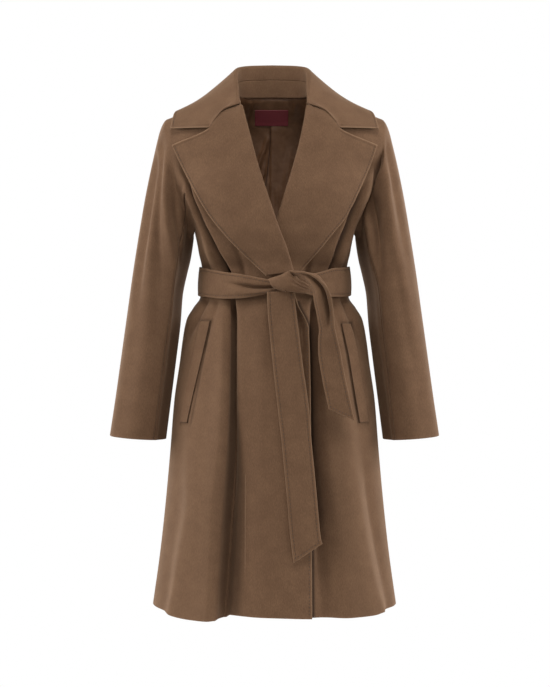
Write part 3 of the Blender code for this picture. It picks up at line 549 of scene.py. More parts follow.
def feed(tree, node, inputs):       # each named input gets a link from a socket, or a value
    for name, value in inputs.items():
        if isinstance(value, bpy.types.NodeSocket):
            tree.links.new(value, node.inputs[name])
        else:
            node.inputs[name].default_value = value


# A node of any kind, with its settings, its inputs and the colour stops of a ramp.
def addNode(tree, kind, inputs=None, stops=(), **settings):
    node = tree.nodes.new(kind)
    for name, value in settings.items():
        setattr(node, name, value)
    for i, (at, code) in enumerate(stops):
        stop = node.color_ramp.elements[i] if i < 2 else node.color_ramp.elements.new(at)
        stop.position, stop.color = at, hexColour(code)
    feed(tree, node, inputs or {})
    return node


def newMaterial(name):      # a material, its node tree and its shader
    material = bpy.data.materials.new(name)
    material.use_nodes = True
    tree = material.node_tree
    return material, tree, tree.nodes["Principled BSDF"]


waveSpan = 0.31     # a wave texture of scale 1 repeats each 0.31 m

# Double-faced virgin wool, fulled and brushed one way: matt, with a short nap that lies
# downwards, a faint bloom at grazing angles and a slightly clouded colour. The fibres are
# drawn coarser than life, or they wouldn't show.
# edge is the colour of the painted highlight on edges and fold crests; seam is the colour of the seams
# and also of the painted shade in folds, beside the front's edge and round the welts.
wool = {"deep": "#614733", "mid": "#694e39", "light": "#72563f", "edge": "#9a7b60",
        "seam": "#3c2b1e", "bloom": "#d0ad8c", "cloudSize": 30 * mm, "fibreWidth": 1.3 * mm,
        "fibreLength": 4.5 * mm, "napHeight": 0.6 * mm, "wearAndLightStrength": 0.75}


def makeFelt():
    material, tree, shader = newMaterial("fulledWool")
    where = addNode(tree, "ShaderNodeTexCoord").outputs["Object"]
    cloud = addNode(tree, "ShaderNodeTexNoise", {
        "Vector": where, "Scale": 1 / wool["cloudSize"], "Detail": 4.0, "Roughness": 0.6})
    along = addNode(tree, "ShaderNodeMapping", {
        "Vector": where,
        "Scale": (1 / wool["fibreWidth"], 1 / wool["fibreWidth"], 1 / wool["fibreLength"])})
    fibre = addNode(tree, "ShaderNodeTexNoise", {
        "Vector": along.outputs["Vector"], "Scale": 1.0, "Detail": 3.0, "Roughness": 0.6})
    blend = addNode(tree, "ShaderNodeMix", {
        "Factor": 0.6, "A": cloud.outputs["Fac"], "B": fibre.outputs["Fac"]}, data_type="FLOAT")
    ramp = addNode(tree, "ShaderNodeValToRGB", {"Fac": blend.outputs["Result"]},
                   stops=((0.36, wool["deep"]), (0.64, wool["light"]), (0.5, wool["mid"])))
    colour = ramp.outputs["Color"]
    lightAndWearMark = addNode(tree, "ShaderNodeAttribute", attribute_name="wearAndPaintedLight").outputs["Fac"]
    for sign, code in ((1, wool["edge"]), (-1, wool["seam"])):      # painted highlight pale; seams and painted shade dark
        share = addNode(tree, "ShaderNodeMath", {0: lightAndWearMark, 1: sign * wool["wearAndLightStrength"]},
                        operation="MULTIPLY", use_clamp=True)
        colour = addNode(tree, "ShaderNodeMixRGB", {
            "Fac": share.outputs[0], "Color1": colour, "Color2": hexColour(code)}).outputs["Color"]
    nap = addNode(tree, "ShaderNodeBump", {
        "Height": fibre.outputs["Fac"], "Strength": 0.5, "Distance": wool["napHeight"]})
    feed(tree, shader, {
        "Base Color": colour, "Normal": nap.outputs["Normal"], "Roughness": 0.92,
        "Specular IOR Level": 0.25, "Sheen Weight": 0.28, "Sheen Roughness": 0.4,
        "Sheen Tint": hexColour(wool["bloom"])})
    return material


# Viscose satin lining: smooth floats that give a soft gloss and sharp small wrinkles.
# fold is the colour of the painted shade down the pleat.
satin = {"mid": "#6f4f38", "deep": "#63452f", "fold": "#2c1c14", "thread": 1.2 * mm,
         "pucker": 16 * mm, "pleatShadeStrength": 0.85}


def makeSatin():
    material, tree, shader = newMaterial("viscoseSatin")
    where = addNode(tree, "ShaderNodeTexCoord").outputs["Object"]
    puckers = addNode(tree, "ShaderNodeTexNoise", {
        "Vector": where, "Scale": 1 / satin["pucker"], "Detail": 3.0, "Distortion": 0.6})
    twill = addNode(tree, "ShaderNodeTexWave", {
        "Vector": where, "Scale": waveSpan / satin["thread"]}, bands_direction="DIAGONAL")
    ramp = addNode(tree, "ShaderNodeValToRGB", {"Fac": puckers.outputs["Fac"]},
                   stops=((0.35, satin["deep"]), (0.65, satin["mid"])))
    soft = addNode(tree, "ShaderNodeBump", {
        "Height": puckers.outputs["Fac"], "Strength": 0.3, "Distance": 2 * mm})
    fine = addNode(tree, "ShaderNodeBump", {
        "Height": twill.outputs["Fac"], "Strength": 0.12, "Distance": 0.2 * mm,
        "Normal": soft.outputs["Normal"]})
    # The pleat line is mixed towards the fold colour as painted shade.
    lightAndWearMark = addNode(tree, "ShaderNodeAttribute", attribute_name="wearAndPaintedLight").outputs["Fac"]
    share = addNode(tree, "ShaderNodeMath", {0: lightAndWearMark, 1: -satin["pleatShadeStrength"]},
                    operation="MULTIPLY", use_clamp=True)
    pleatShaded = addNode(tree, "ShaderNodeMixRGB", {
        "Fac": share.outputs[0], "Color1": ramp.outputs["Color"], "Color2": hexColour(satin["fold"])})
    feed(tree, shader, {
        "Base Color": pleatShaded.outputs["Color"], "Normal": fine.outputs["Normal"],
        "Roughness": 0.45, "Specular IOR Level": 0.22})
    return material


# Damask-woven polyester label: fine ribs across, a slight gloss.
ribbon = {"dark": "#6e2229", "light": "#7d2a32", "rib": 0.9 * mm, "ribHeight": 0.2 * mm}


def makeLabelCloth():
    material, tree, shader = newMaterial("wovenLabel")
    where = addNode(tree, "ShaderNodeTexCoord").outputs["Object"]
    ribs = addNode(tree, "ShaderNodeTexWave", {"Vector": where, "Scale": waveSpan / ribbon["rib"]},
                   bands_direction="Z")
    ramp = addNode(tree, "ShaderNodeValToRGB", {"Fac": ribs.outputs["Fac"]},
                   stops=((0, ribbon["dark"]), (1, ribbon["light"])))
    bump = addNode(tree, "ShaderNodeBump", {
        "Height": ribs.outputs["Fac"], "Strength": 0.2, "Distance": ribbon["ribHeight"]})
    feed(tree, shader, {
        "Base Color": ramp.outputs["Color"], "Normal": bump.outputs["Normal"], "Roughness": 0.55})
    return material


# Silk buttonhole twist, sunk in the nap: smoother than the wool, and coloured darker than it, partly as
# painted shade of the dimples it lies in.
twistedSilk = {"dark": "#3a2a1e", "light": "#4c3828", "pliesPerMetre": 900.0}


def makeThread():
    material, tree, shader = newMaterial("silkTwist")
    where = addNode(tree, "ShaderNodeTexCoord").outputs["Object"]
    twist = addNode(tree, "ShaderNodeTexNoise", {
        "Vector": where, "Scale": twistedSilk["pliesPerMetre"], "Detail": 1.0})
    ramp = addNode(tree, "ShaderNodeValToRGB", {"Fac": twist.outputs["Fac"]},
                   stops=((0, twistedSilk["dark"]), (1, twistedSilk["light"])))
    feed(tree, shader, {"Base Color": ramp.outputs["Color"], "Roughness": 0.6})
    return material


felt = makeFelt()
satinCloth = makeSatin()
labelCloth = makeLabelCloth()
thread = makeThread()
print("materials made")


shellGrid = {"upper": 50, "gusset": 24, "lower": 126, "skirtLength": 0.73, "beforeFold": 68,
             "frontWidth": 0.16, "afterFold": 72, "closing": 1.35, "halfBack": 66, "sewnOver": 0.3}


def shellLines():       # row positions down a front or back, in cross-line numbers
    upper = np.linspace(0, gussetLine, shellGrid["upper"] + 1)
    gusset = np.linspace(gussetLine, underarmLine, shellGrid["gusset"] + 1)
    lower = underarmLine + (lastLine - underarmLine) * gridLines(
        shellGrid["lower"], shellGrid["skirtLength"], end="rounded")
    return np.concatenate([upper, gusset[1:], lower[1:]])


def readLine(name, at):     # height of the cross lines at one edge
    return flow(at, np.arange(lastLine + 1.0), crossLines[name])


# Each front has one line of the grid along its deepest fold, with finer columns beside it.
deepFold = columns(
    "z right left",
    (12, -148, 148), (-90, -160, 162), (-150, -168, 170), (-182, -166, 170), (-225, -146, 150),
    (-257, -131, 136), (-300, -108, 122), (-345, -86, 107), (-392, -88, 90), (-440, -89, 90),
    (-560, -91, 90), (-684, -95.5, 90), (-771, -102.5, 95), (-883, -109, 101), (-992, -115, 108),
)


# Columns are even round the body's ring. Rows run between the heights of their two ends,
# parallel to the shoulder seam near it, and dip with the hem below the skirt's middle.
def frontGrid(side):
    at = shellLines()
    innerZ, outerZ = readLine("front", at), readLine("outer", at)
    inner = readDown(frontEdge, sideName[side], innerZ)
    outer = outerEdge(side, outerZ)
    fold = readDown(deepFold, sideName[side], (innerZ + outerZ) / 2)
    before = gridLines(shellGrid["beforeFold"], shellGrid["frontWidth"], start="stitched")
    before = 1 - (1 - before) ** shellGrid["closing"]
    after = np.linspace(0, 1, shellGrid["afterFold"] + 1)[1:] ** shellGrid["closing"]
    half = readDown(bodyRings, "half", outerZ)

    def turn(x):
        return np.arcsin(np.clip(x / half, -1, 1))[:, None]

    turns = np.concatenate([turn(inner) + (turn(fold) - turn(inner)) * before,
                            turn(fold) + (turn(outer) - turn(fold)) * after], axis=1)
    x = half[:, None] * np.sin(turns)
    share = (x - inner[:, None]) / (outer - inner)[:, None]
    innerDrop, outerDrop = shoulderSlope(inner) - innerZ, shoulderSlope(outer) - outerZ
    z = shoulderSlope(x) - innerDrop[:, None] - share * (outerDrop - innerDrop)[:, None]
    z = np.where((at >= underarmLine)[:, None], innerZ[:, None], z)
    wide = readDown(bodyRings, "half", z)
    z = z - flow(x, hemDip["x"], hemDip["drop"]) * ease((body["hemTop"] - z) / body["hemFade"])
    x = x * np.where(z < body["hemTop"], readDown(bodyRings, "half", z) / wide, 1)
    grid = slipped(frontPoint(x, z, side, overlapLift(side, x, z)), frontLaps[side])
    return grid, foldDepth(frontFolds[side], x, z)


# The back's grid is made in the same way, from the centre line out to each side.
def backGrid(columnsEachSide):
    at = shellLines()
    innerZ, outerZ = readLine("back", at), readLine("outer", at)
    half = readDown(bodyRings, "half", outerZ)
    across = np.linspace(0, 1, columnsEachSide + 1)
    halves = []
    for side in (right, left):
        outer = outerEdge(side, outerZ)
        x = half[:, None] * np.sin(np.arcsin(np.clip(outer / half, -1, 1))[:, None] * across)
        share = x / outer[:, None]
        innerDrop = (backNeckLine(0.0) - innerZ)[:, None]
        outerDrop = (backNeckLine(outer) - outerZ)[:, None]
        z = backNeckLine(x) - innerDrop - share * (outerDrop - innerDrop)
        z = np.where((at >= underarmLine)[:, None], innerZ[:, None], z)
        halves.append(backPoint(x, z, backFolds))
    return np.concatenate([halves[0][:, ::-1], halves[1][:, 1:]], axis=1)


# Sleeve rings from the outer point to the inner one, with depth to front and back. A place
# along the armhole, from the shoulder round the underarm and back, has its turn in degrees.
sleeveRings = columns(
    "outerX outerZ innerX innerZ front back middle",
    (229, -74, 158, -276, 62, 70, 3), (241, -125, 160, -292, 68, 76, 2),
    (254, -190, 164, -316, 75, 80, 1), (266, -262, 171, -345, 78, 80, 0),
    (278, -340, 179, -385, 77, 78, -2), (289, -420, 183, -440, 73, 75, -4),
    (300, -500, 191, -508, 69, 71, -6), (311, -580, 201, -588, 65, 67, -8),
    (323, -660, 211, -668, 61, 63, -9),
)
sleeve = {"places": (0, 5, 8, 11, 16), "turns": (0, 130, 180, 225, 360), "rows": 98,
          "length": 0.56, "hollow": 12 * mm, "hollowTurn": 160, "hollowSpread": 22, "pull": 0.75,
          "joinRows": 21, "axisX": 0.24, "bodyHalfWidth": 0.21, "hemSeam": 11 * mm}

# Folds of a sleeve: distances down it (0 at the first ring, 1 at the cuff), the turn round it
# at each in degrees, the reach in degrees, and the depths in millimetres.
sleeveFolds = {
    right: [
        # a ridge that runs in from the shoulder to the underarm, hollow on either side
        ((0, 0.14, 0.24, 0.37, 0.54, 0.7), (65, 77, 92, 117, 133, 136), 11, (-4, -7, -8, -7, -5, 0)),
        ((0, 0.14, 0.24, 0.37, 0.54, 0.75), (46, 55, 64, 81, 98, 106), 14, (4, 10, 13, 13, 9, 0)),
        ((0.04, 0.15, 0.3, 0.5, 0.65), (26, 30, 37, 46, 52), 14, (0, 10, 13, 9, 0)),
        ((0, 0.14, 0.24, 0.36), (95, 109, 134, 150), 11, (3, 7, 6, 0)),
        ((0.45, 0.7, 0.85, 1.0), (62, 60, 58, 58), 18, (0, 3, 3, 1)),
        ((0.0, 0.3, 0.65, 1.0), (278, 284, 290, 292), 15, (1, 7, 6, 1)),
        ((0.1, 0.4, 0.7, 1.0), (318, 322, 326, 328), 14, (0, -4, -4, -1)),
        ((0.0, 0.3, 0.6, 0.9), (246, 244, 250, 256), 13, (0, 6, 4, 0)),
    ],
    left: [
        ((0, 0.12, 0.22, 0.35, 0.55, 0.8), (68, 71, 75, 75, 66, 56), 12, (-8, -15, -15, -9, -5, 0)),
        ((0, 0.12, 0.22, 0.35, 0.5), (44, 46, 48, 50, 46), 10, (2, 5, 5, 3, 0)),
        # the deep fold beside the armhole
        ((0, 0.1, 0.22, 0.36, 0.5), (103, 102, 103, 111, 120), 10, (11, 18, 19, 11, 0)),
        ((0, 0.12, 0.25, 0.4), (122, 122, 124, 130), 9, (-4, -6, -5, 0)),
        ((0.3, 0.5, 0.75, 1.0), (78, 74, 68, 64), 17, (0, 3, 3, 1)),
        ((0.35, 0.5, 0.7, 0.9), (140, 138, 134, 130), 12, (0, 5, 5, 0)),
        ((0.0, 0.35, 0.6, 1.0), (270, 276, 284, 286), 16, (1, 6, 5, 1)),
        ((0.15, 0.45, 0.75, 1.0), (312, 318, 320, 322), 13, (0, -4, -3, -1)),
        ((0.0, 0.25, 0.5, 0.85), (250, 246, 244, 250), 13, (0, 6, 4, 0)),
    ],
}


# A ring is an oval tipped from its outer to its inner point: the share across goes as
# (1 + cos turn) / 2 and Y as depth x sin turn. The under panel falls inwards as a bell.
def sleevePoint(side, down, degrees):
    ring = {name: readAlong(sleeveRings, name, down) for name in sleeveRings}
    turn = np.radians(degrees)
    share = (1 + np.cos(turn)) / 2
    hollow = sleeve["hollow"] * bell((degrees - sleeve["hollowTurn"]) / sleeve["hollowSpread"])
    out = np.zeros(np.broadcast(down, degrees).shape)
    for places, centres, reach, depths in sleeveFolds[side]:
        away = (degrees - flow(down, places, centres)) / reach
        out = out - flow(down, places, depths) * mm * bell(away)
    depth = np.where(degrees < 180, ring["front"], ring["back"]) + out
    x = ring["innerX"] + (ring["outerX"] - ring["innerX"]) * share + hollow + out * np.cos(turn)
    z = ring["innerZ"] + (ring["outerZ"] - ring["innerZ"]) * share
    y = ring["middle"] - depth * np.sin(turn)
    return np.stack([side * x, y, z], axis=-1)


# From the armhole to the first ring the cloth leaves the body's surface in its own
# direction and joins the sleeve's: a cubic with those two end slopes.
def sleeveGrid(side, armholeLine, leaving, at):
    degrees = np.interp(at, sleeve["places"], sleeve["turns"])[None]
    below = gridLines(sleeve["rows"], sleeve["length"], end="rounded")[:, None]
    tube = sleevePoint(side, below, degrees)
    first, step = tube[0], 0.01
    slope = (sleevePoint(side, np.full_like(degrees, step), degrees)[0] - first) / step
    span = np.linalg.norm(first - armholeLine, axis=-1)[..., None]
    arriving = slope / np.linalg.norm(slope, axis=-1)[..., None] * span
    t = np.linspace(0, 1, sleeve["joinRows"] + 1)[:-1, None, None]
    joined = cubic(t, armholeLine, leaving * span * sleeve["pull"], first, arriving * sleeve["pull"])
    return np.concatenate([joined, tube])


def leavingDirection(grid, column):     # outward direction of the cloth at its outer column
    inner = {-1: -3, 0: 2}[column]
    step = grid[:, column] - grid[:, inner]
    return step / np.linalg.norm(step, axis=-1)[:, None]


# The middle line of each pocket welt, and the slit that the front is pressed into round it.
welts = {
    right: columns("x z", (-132, -436), (-170, -631)),
    left: columns("x z", (139, -441), (170, -631)),
}
weltShape = {"halfWidth": 9.5 * mm, "width": 0.019, "length": 0.195, "cloth": 2.2 * mm,
             "lift": 2.5 * mm, "mouth": 1.2 * mm, "slit": 1.0 * mm, "slitReach": 2.2 * mm,
             "slitDepth": 2.0 * mm, "innerShare": 0.7, "rows": 110, "columns": 20}


# Sunk by depth x a bell of the distance from the welt's outline, most at its outer edge, which is the
# pocket's mouth; the same bell darkens the colour there as painted shade.
def pocketMouth(side, grid, normals, wearAndPaintedLight):
    x, z = grid[..., 0], grid[..., 2]
    line = welts[side]
    down = (z - line["z"][0]) / (line["z"][1] - line["z"][0])
    middle = line["x"][0] + (line["x"][1] - line["x"][0]) * down
    across = np.abs(x - middle) - weltShape["halfWidth"]
    length = line["z"][0] - line["z"][1]
    beyond = np.maximum(across, (np.abs(down - 0.5) - 0.5) * length)
    near = bell((beyond - weltShape["slit"]) / weltShape["slitReach"])
    least = weltShape["innerShare"]
    near = near * (least + (1 - least) * ease((side * (x - middle)) / weltShape["halfWidth"]))
    # The bell is also taken off the mark, which darkens the colour round the welt as painted shade.
    return grid - normals * (weltShape["slitDepth"] * near)[..., None], wearAndPaintedLight - near


# A sleeve's cut part: rounded at the cuff, which is turned up and pressed, seamed at the sides.
def finishSleeve(block, borders):
    middle = block.mean(axis=1)[:, None] * np.array([1, 0, 1])
    normals = gridNormals(block, block - middle)
    done, wearAndPaintedLight = finished(block, normals, ("bottom",), paintedLight=0.4)
    done, wearAndPaintedLight = seamed(done, normals, wearAndPaintedLight, {"bottom": 0.4}, 0.5 * mm, 2 * mm, sleeve["hemSeam"])
    return seamed(done, normals, wearAndPaintedLight, {border: 1.0 for border in borders})


# Painted light on the fronts: painted shade deep in a fold and a painted highlight on its crest, both
# most above the belt; and a painted shadow on the left front beside the right one's edge.
foldLightPainting = {"beltTop": -390 * mm, "bodiceShade": 1.2, "skirtShade": 0.4, "bodiceHighlight": 0.4,
           "skirtHighlight": 0.1, "shadeFrom": 6 * mm, "shadeOver": 18 * mm, "highlightOver": 12 * mm,
           "edgeShadowDark": 1.5, "edgeShadowBeside": 3.5 * mm, "edgeShadowReach": 3.4 * mm,
           "edgeShadowTop": -400 * mm}


# Painted highlight x ease of how far the fold stands out, less painted shade x ease of how deep it lies.
def paintedFoldLight(side, grid, depth):
    x, z = grid[..., 0], grid[..., 2]
    bodice = z > foldLightPainting["beltTop"]
    foldShade = np.where(bodice, foldLightPainting["bodiceShade"], foldLightPainting["skirtShade"])
    paintedLight = np.where(bodice, foldLightPainting["bodiceHighlight"], foldLightPainting["skirtHighlight"])
    wearAndPaintedLight = (paintedLight * ease(-depth / foldLightPainting["highlightOver"])
            - foldShade * ease((depth - foldLightPainting["shadeFrom"]) / foldLightPainting["shadeOver"]))
    if side == left:
        # A painted shadow on the left front, just beside the right front's edge, below the belt.
        beside = x - readDown(frontEdge, "right", z) - foldLightPainting["edgeShadowBeside"]
        edgeShadow = bell(beside / foldLightPainting["edgeShadowReach"]) * (z < foldLightPainting["edgeShadowTop"])
        wearAndPaintedLight = wearAndPaintedLight - foldLightPainting["edgeShadowDark"] * edgeShadow
    return wearAndPaintedLight


def outwardShell(points):       # out from each sleeve's axis, or from the body's between them
    beside = np.abs(points[:, :1]) > sleeve["bodyHalfWidth"]
    axis = np.sign(points[:, :1]) * np.array([sleeve["axisX"], 0, 0])
    return (points - np.where(beside, axis, 0)) * np.array([1, 1, 0])


# Cuts fronts, back and sleeves from common lines, so that each seam's two sides agree.
def makeShell():
    at = shellLines()
    toGusset = at <= gussetLine
    toUnderarm = (at >= gussetLine) & (at <= underarmLine)
    sewn = ease((at - gussetLine) / shellGrid["sewnOver"])[:, None]     # no armhole seam above it
    lastPlace = sleeve["places"][-1]

    def roundUnderarm(ahead, behind):       # down the front's line to the underarm, up the back's
        return np.concatenate([ahead[toUnderarm], behind[toUnderarm][-2::-1]])

    plainBack = backGrid(shellGrid["halfBack"])
    normals = gridNormals(plainBack, (0, 1, 0))
    back, wearAndPaintedLight = finished(plainBack, normals, ("bottom",), paintedLight=0.4)
    back, wearAndPaintedLight = seamed(back, normals, wearAndPaintedLight, {"first": sewn, "last": sewn, "top": 1.0})
    backBlocks, backWears, made = [back], [wearAndPaintedLight], {}
    for side in (right, left):
        word = sideName[side]
        plain, depth = frontGrid(side)
        normals = gridNormals(plain, (0, -1, 0))
        front, wearAndPaintedLight = finished(plain, normals, ("bottom", "first"), ("first",), paintedLight=0.5)
        wearAndPaintedLight = wearAndPaintedLight + paintedFoldLight(side, plain, depth)
        front, wearAndPaintedLight = seamed(front, normals, wearAndPaintedLight, {"last": sewn, "top": 1.0})
        front, wearAndPaintedLight = pocketMouth(side, front, normals, wearAndPaintedLight)
        made[side] = front, normals
        column = 0 if side == right else -1
        frontLine, frontLeaving = plain[:, -1], leavingDirection(plain, -1)
        backLine, backLeaving = plainBack[:, column], leavingDirection(plainBack, column)
        sleeveFront = sleeveGrid(side, frontLine[toGusset], frontLeaving[toGusset], at[toGusset])
        sleeveBack = sleeveGrid(side, backLine[toGusset], backLeaving[toGusset],
                                lastPlace - at[toGusset])
        under = sleeveGrid(side, roundUnderarm(frontLine, backLine),
                           roundUnderarm(frontLeaving, backLeaving), roundUnderarm(at, lastPlace - at))
        sleeveFront, frontWear = finishSleeve(sleeveFront, ("first", "last"))
        sleeveBack, sleeveBackWear = finishSleeve(sleeveBack, ("first", "last"))
        under, underWear = finishSleeve(under, ("first", "last", "top"))
        sleeveFront[0], sleeveBack[0] = front[toGusset, -1], back[toGusset, column]
        piece = woolPiece(f"{word}Front", [front, sleeveFront], outwardShell, [wearAndPaintedLight, frontWear],
                          (f"front_{word}", f"sleeve_front_{word}"))
        piece = woolPiece(f"{word}UnderSleeve", [under], fromAxis(side * sleeve["axisX"]),
                          [underWear], (f"sleeve_under_{word}",))
        backBlocks.append(sleeveBack)
        backWears.append(sleeveBackWear)
    piece = woolPiece("coatBack", backBlocks, outwardShell, backWears,
                      ("back", "sleeve_back_right", "sleeve_back_left"))
    return made


shell = makeShell()
print("fronts, back and sleeves made")


# The roll line and outer edge of each lapel, from top to bottom, and the notched top edge of
# the left one from its roll outwards.
lapels = {
    right: columns("rollX rollZ edgeX edgeZ",
                   (-65.5, -23, -199, -98), (-50, -84, -181, -137), (-34.5, -143, -160, -178),
                   (-14, -207, -128, -234), (3.5, -259, -93, -278), (20.5, -303, -62, -310),
                   (33, -345, -17, -352)),
    left: columns("rollX rollZ edgeX edgeZ",
                  (65.5, -23, 199, -101), (58, -66, 186, -138), (50, -104, 169, -177),
                  (29, -178, 135, -244), (5, -254, 112, -272), (-10, -303, 84, -306),
                  (-21, -341, 51, -343)),
}
lapelTop = columns(
    "x z",
    (65.5, -22), (95.5, -32), (117, -57.5), (126, -69.5), (199, -99),
)
lapelShape = {"lift": 9 * mm, "rollRadius": 4.6 * mm, "belly": 2.5 * mm, "tipLift": 5 * mm,
              "collarDip": 3.5 * mm, "topSteps": (0, 0.22, 0.40, 0.50, 1), "rows": 150,
              "length": 0.36, "columns": 84, "width": 0.13, "rollColumns": 10}
notchShape = {"from": 0.46, "fade": 0.06}       # where a top edge comes free, as a share across


# A lifted point of the front that keeps its own X.
def overFront(x, z, lift):
    leaning = x / readDown(bodyRings, "half", z)
    return frontPoint(x - leaning * lift, z, None, lift)


def lapelAcross():      # the share from the roll to the edge at each column, 0 round the roll
    share = gridLines(lapelShape["columns"], lapelShape["width"], end="stitched")
    return np.concatenate([np.zeros(lapelShape["rollColumns"]), share])


# Ruled from the roll line to the edge; the notched top fades out as (1 - down)^3. The first
# columns run round the roll as a half circle, from the front's own edge to the lapel's face.
def lapelGrid(side):
    table, radius = lapels[side], lapelShape["rollRadius"]
    down = gridLines(lapelShape["rows"], lapelShape["length"], start="stitched")[:, None]
    across = lapelAcross()[None, lapelShape["rollColumns"]:]
    line = {name: readAlong(table, name, down) for name in table}
    topX = side * flow(across, lapelShape["topSteps"], lapelTop["x"])
    topZ = flow(across, lapelShape["topSteps"], lapelTop["z"])
    fade = (1 - down) ** 3
    x = line["rollX"] * (1 - across) + line["edgeX"] * across
    z = line["rollZ"] * (1 - across) + line["edgeZ"] * across
    x = x + fade * (topX - x[:1])
    z = z + fade * (topZ - z[:1])
    belly = lapelShape["belly"] * np.sin(np.pi * across) + lapelShape["tipLift"] * across**4 * fade
    belly = belly - lapelShape["collarDip"] * (1 - down) ** 8 * (1 - across) ** 2
    face = overFront(x, z, lapelShape["lift"] + overlapLift(side, x, z) + belly)
    turn = np.linspace(0, np.pi, lapelShape["rollColumns"] + 1)[None, :-1]
    rollX = line["rollX"] - side * radius * np.sin(turn)
    rollLift = lapelShape["lift"] + overlapLift(side, line["rollX"], line["rollZ"]) + belly[:, :1]
    roll = overFront(rollX, line["rollZ"] + 0 * turn, rollLift - radius * (1 + np.cos(turn)))
    return np.concatenate([roll, face], axis=1)


def makeLapels():
    free = ease((lapelAcross() - notchShape["from"]) / notchShape["fade"])
    for side in (right, left):
        word = sideName[side]
        plain = lapelGrid(side)
        normals = gridNormals(plain, (0, -1, 0))
        grid, wearAndPaintedLight = finished(plain, normals, ("top", "last"), ("top", "last"), radius=2 * mm,
                              paintedLight=0.8, press=0.35, free={"top": free})
        grid, wearAndPaintedLight = seamed(grid, normals, wearAndPaintedLight, {"top": 0.6 * (1 - free)})
        piece = woolPiece(f"{word}Lapel", [grid], toFront, [wearAndPaintedLight], (f"lapel_{word}",),
                          body["foldedCloth"])
        rows = [stitchRow(grid, normals, "last", 0.02, 0.98)]
        stitches = stitchPiece(f"{word}LapelStitches", rows)


makeLapels()
print("lapels made")


# Lines of the collar's left half, from its seam with the lapel to the centre back: the roll
# and the leaf's edge, and the foot of the stand on the coat. The gorge is the leaf's end
# across, over the lapel's top edge.
collar = columns(
    "rollX rollY rollZ edgeX edgeY edgeZ",
    (65.5, -81, -19, 201, -65, -64), (69, -53, 10, 199, -40, -44), (72, -24, 37, 194, -8, -24),
    (73, 4, 57.5, 184, 36, -16), (68, 34, 70.5, 149, 82, -22), (43, 57, 78.5, 80, 108, -24),
    (0, 65, 81, 0, 114, -24),
)
collarBase = columns(
    "x frontZ backZ",
    (65.5, -27, 0), (69.5, -8, 0), (72, 12, 12), (70, 0, 13), (58, 0, 15.5), (34, 0, 18), (0, 0, 19),
)
gorge = columns(
    "x y z",
    (66.5, -83, -20), (96, -86.5, -31.5), (117, -94, -56), (125.5, -95, -67.5), (201, -66, -64.5),
)
collarShape = {"rows": 75, "length": 0.3, "slip": 4.5 * mm, "slipFoot": -64 * mm,
               "slipOver": 100 * mm, "radius": 6 * mm, "endRadius": 0.45, "radiusGrowth": 2.0,
               "seamHeight": 0.5, "seamInwards": 0.6, "footInwards": 5.6 * mm, "footDrop": 5 * mm,
               "climbColumns": 13, "rollColumns": 11, "rollTurn": 135, "leafColumns": 70,
               "leafWidth": 0.12, "crown": 6.5 * mm, "crownPower": 1.7, "crownWay": (0, -0.6, 0.8),
               "gorgeSteps": (0, 0.24, 0.42, 0.50, 1), "bendPower": 0.9, "bendFade": 0.30,
               "notchFade": 0.075, "standStart": 0.16, "standColumns": 16}

# How full the leaf stands: places along the collar, and the share of its crown at each.
collarFullness = np.array([(0, 0.15, 0.3, 0.5, 0.75, 1), (0.4, 0.3, 0.2, -0.5, -0.2, 0.7)])


def wholeCollar(half):          # mirrors the left half and joins the two at the centre back
    return np.concatenate([half[:-1] * np.array([-1, 1, 1]), half[::-1]])


def settled(grid):      # the collar has slipped a little to the wearer's right, most at its top
    moved = grid.copy()
    height = (grid[..., 2] - collarShape["slipFoot"]) / collarShape["slipOver"]
    moved[..., 0] -= collarShape["slip"] * ease(height)
    return moved


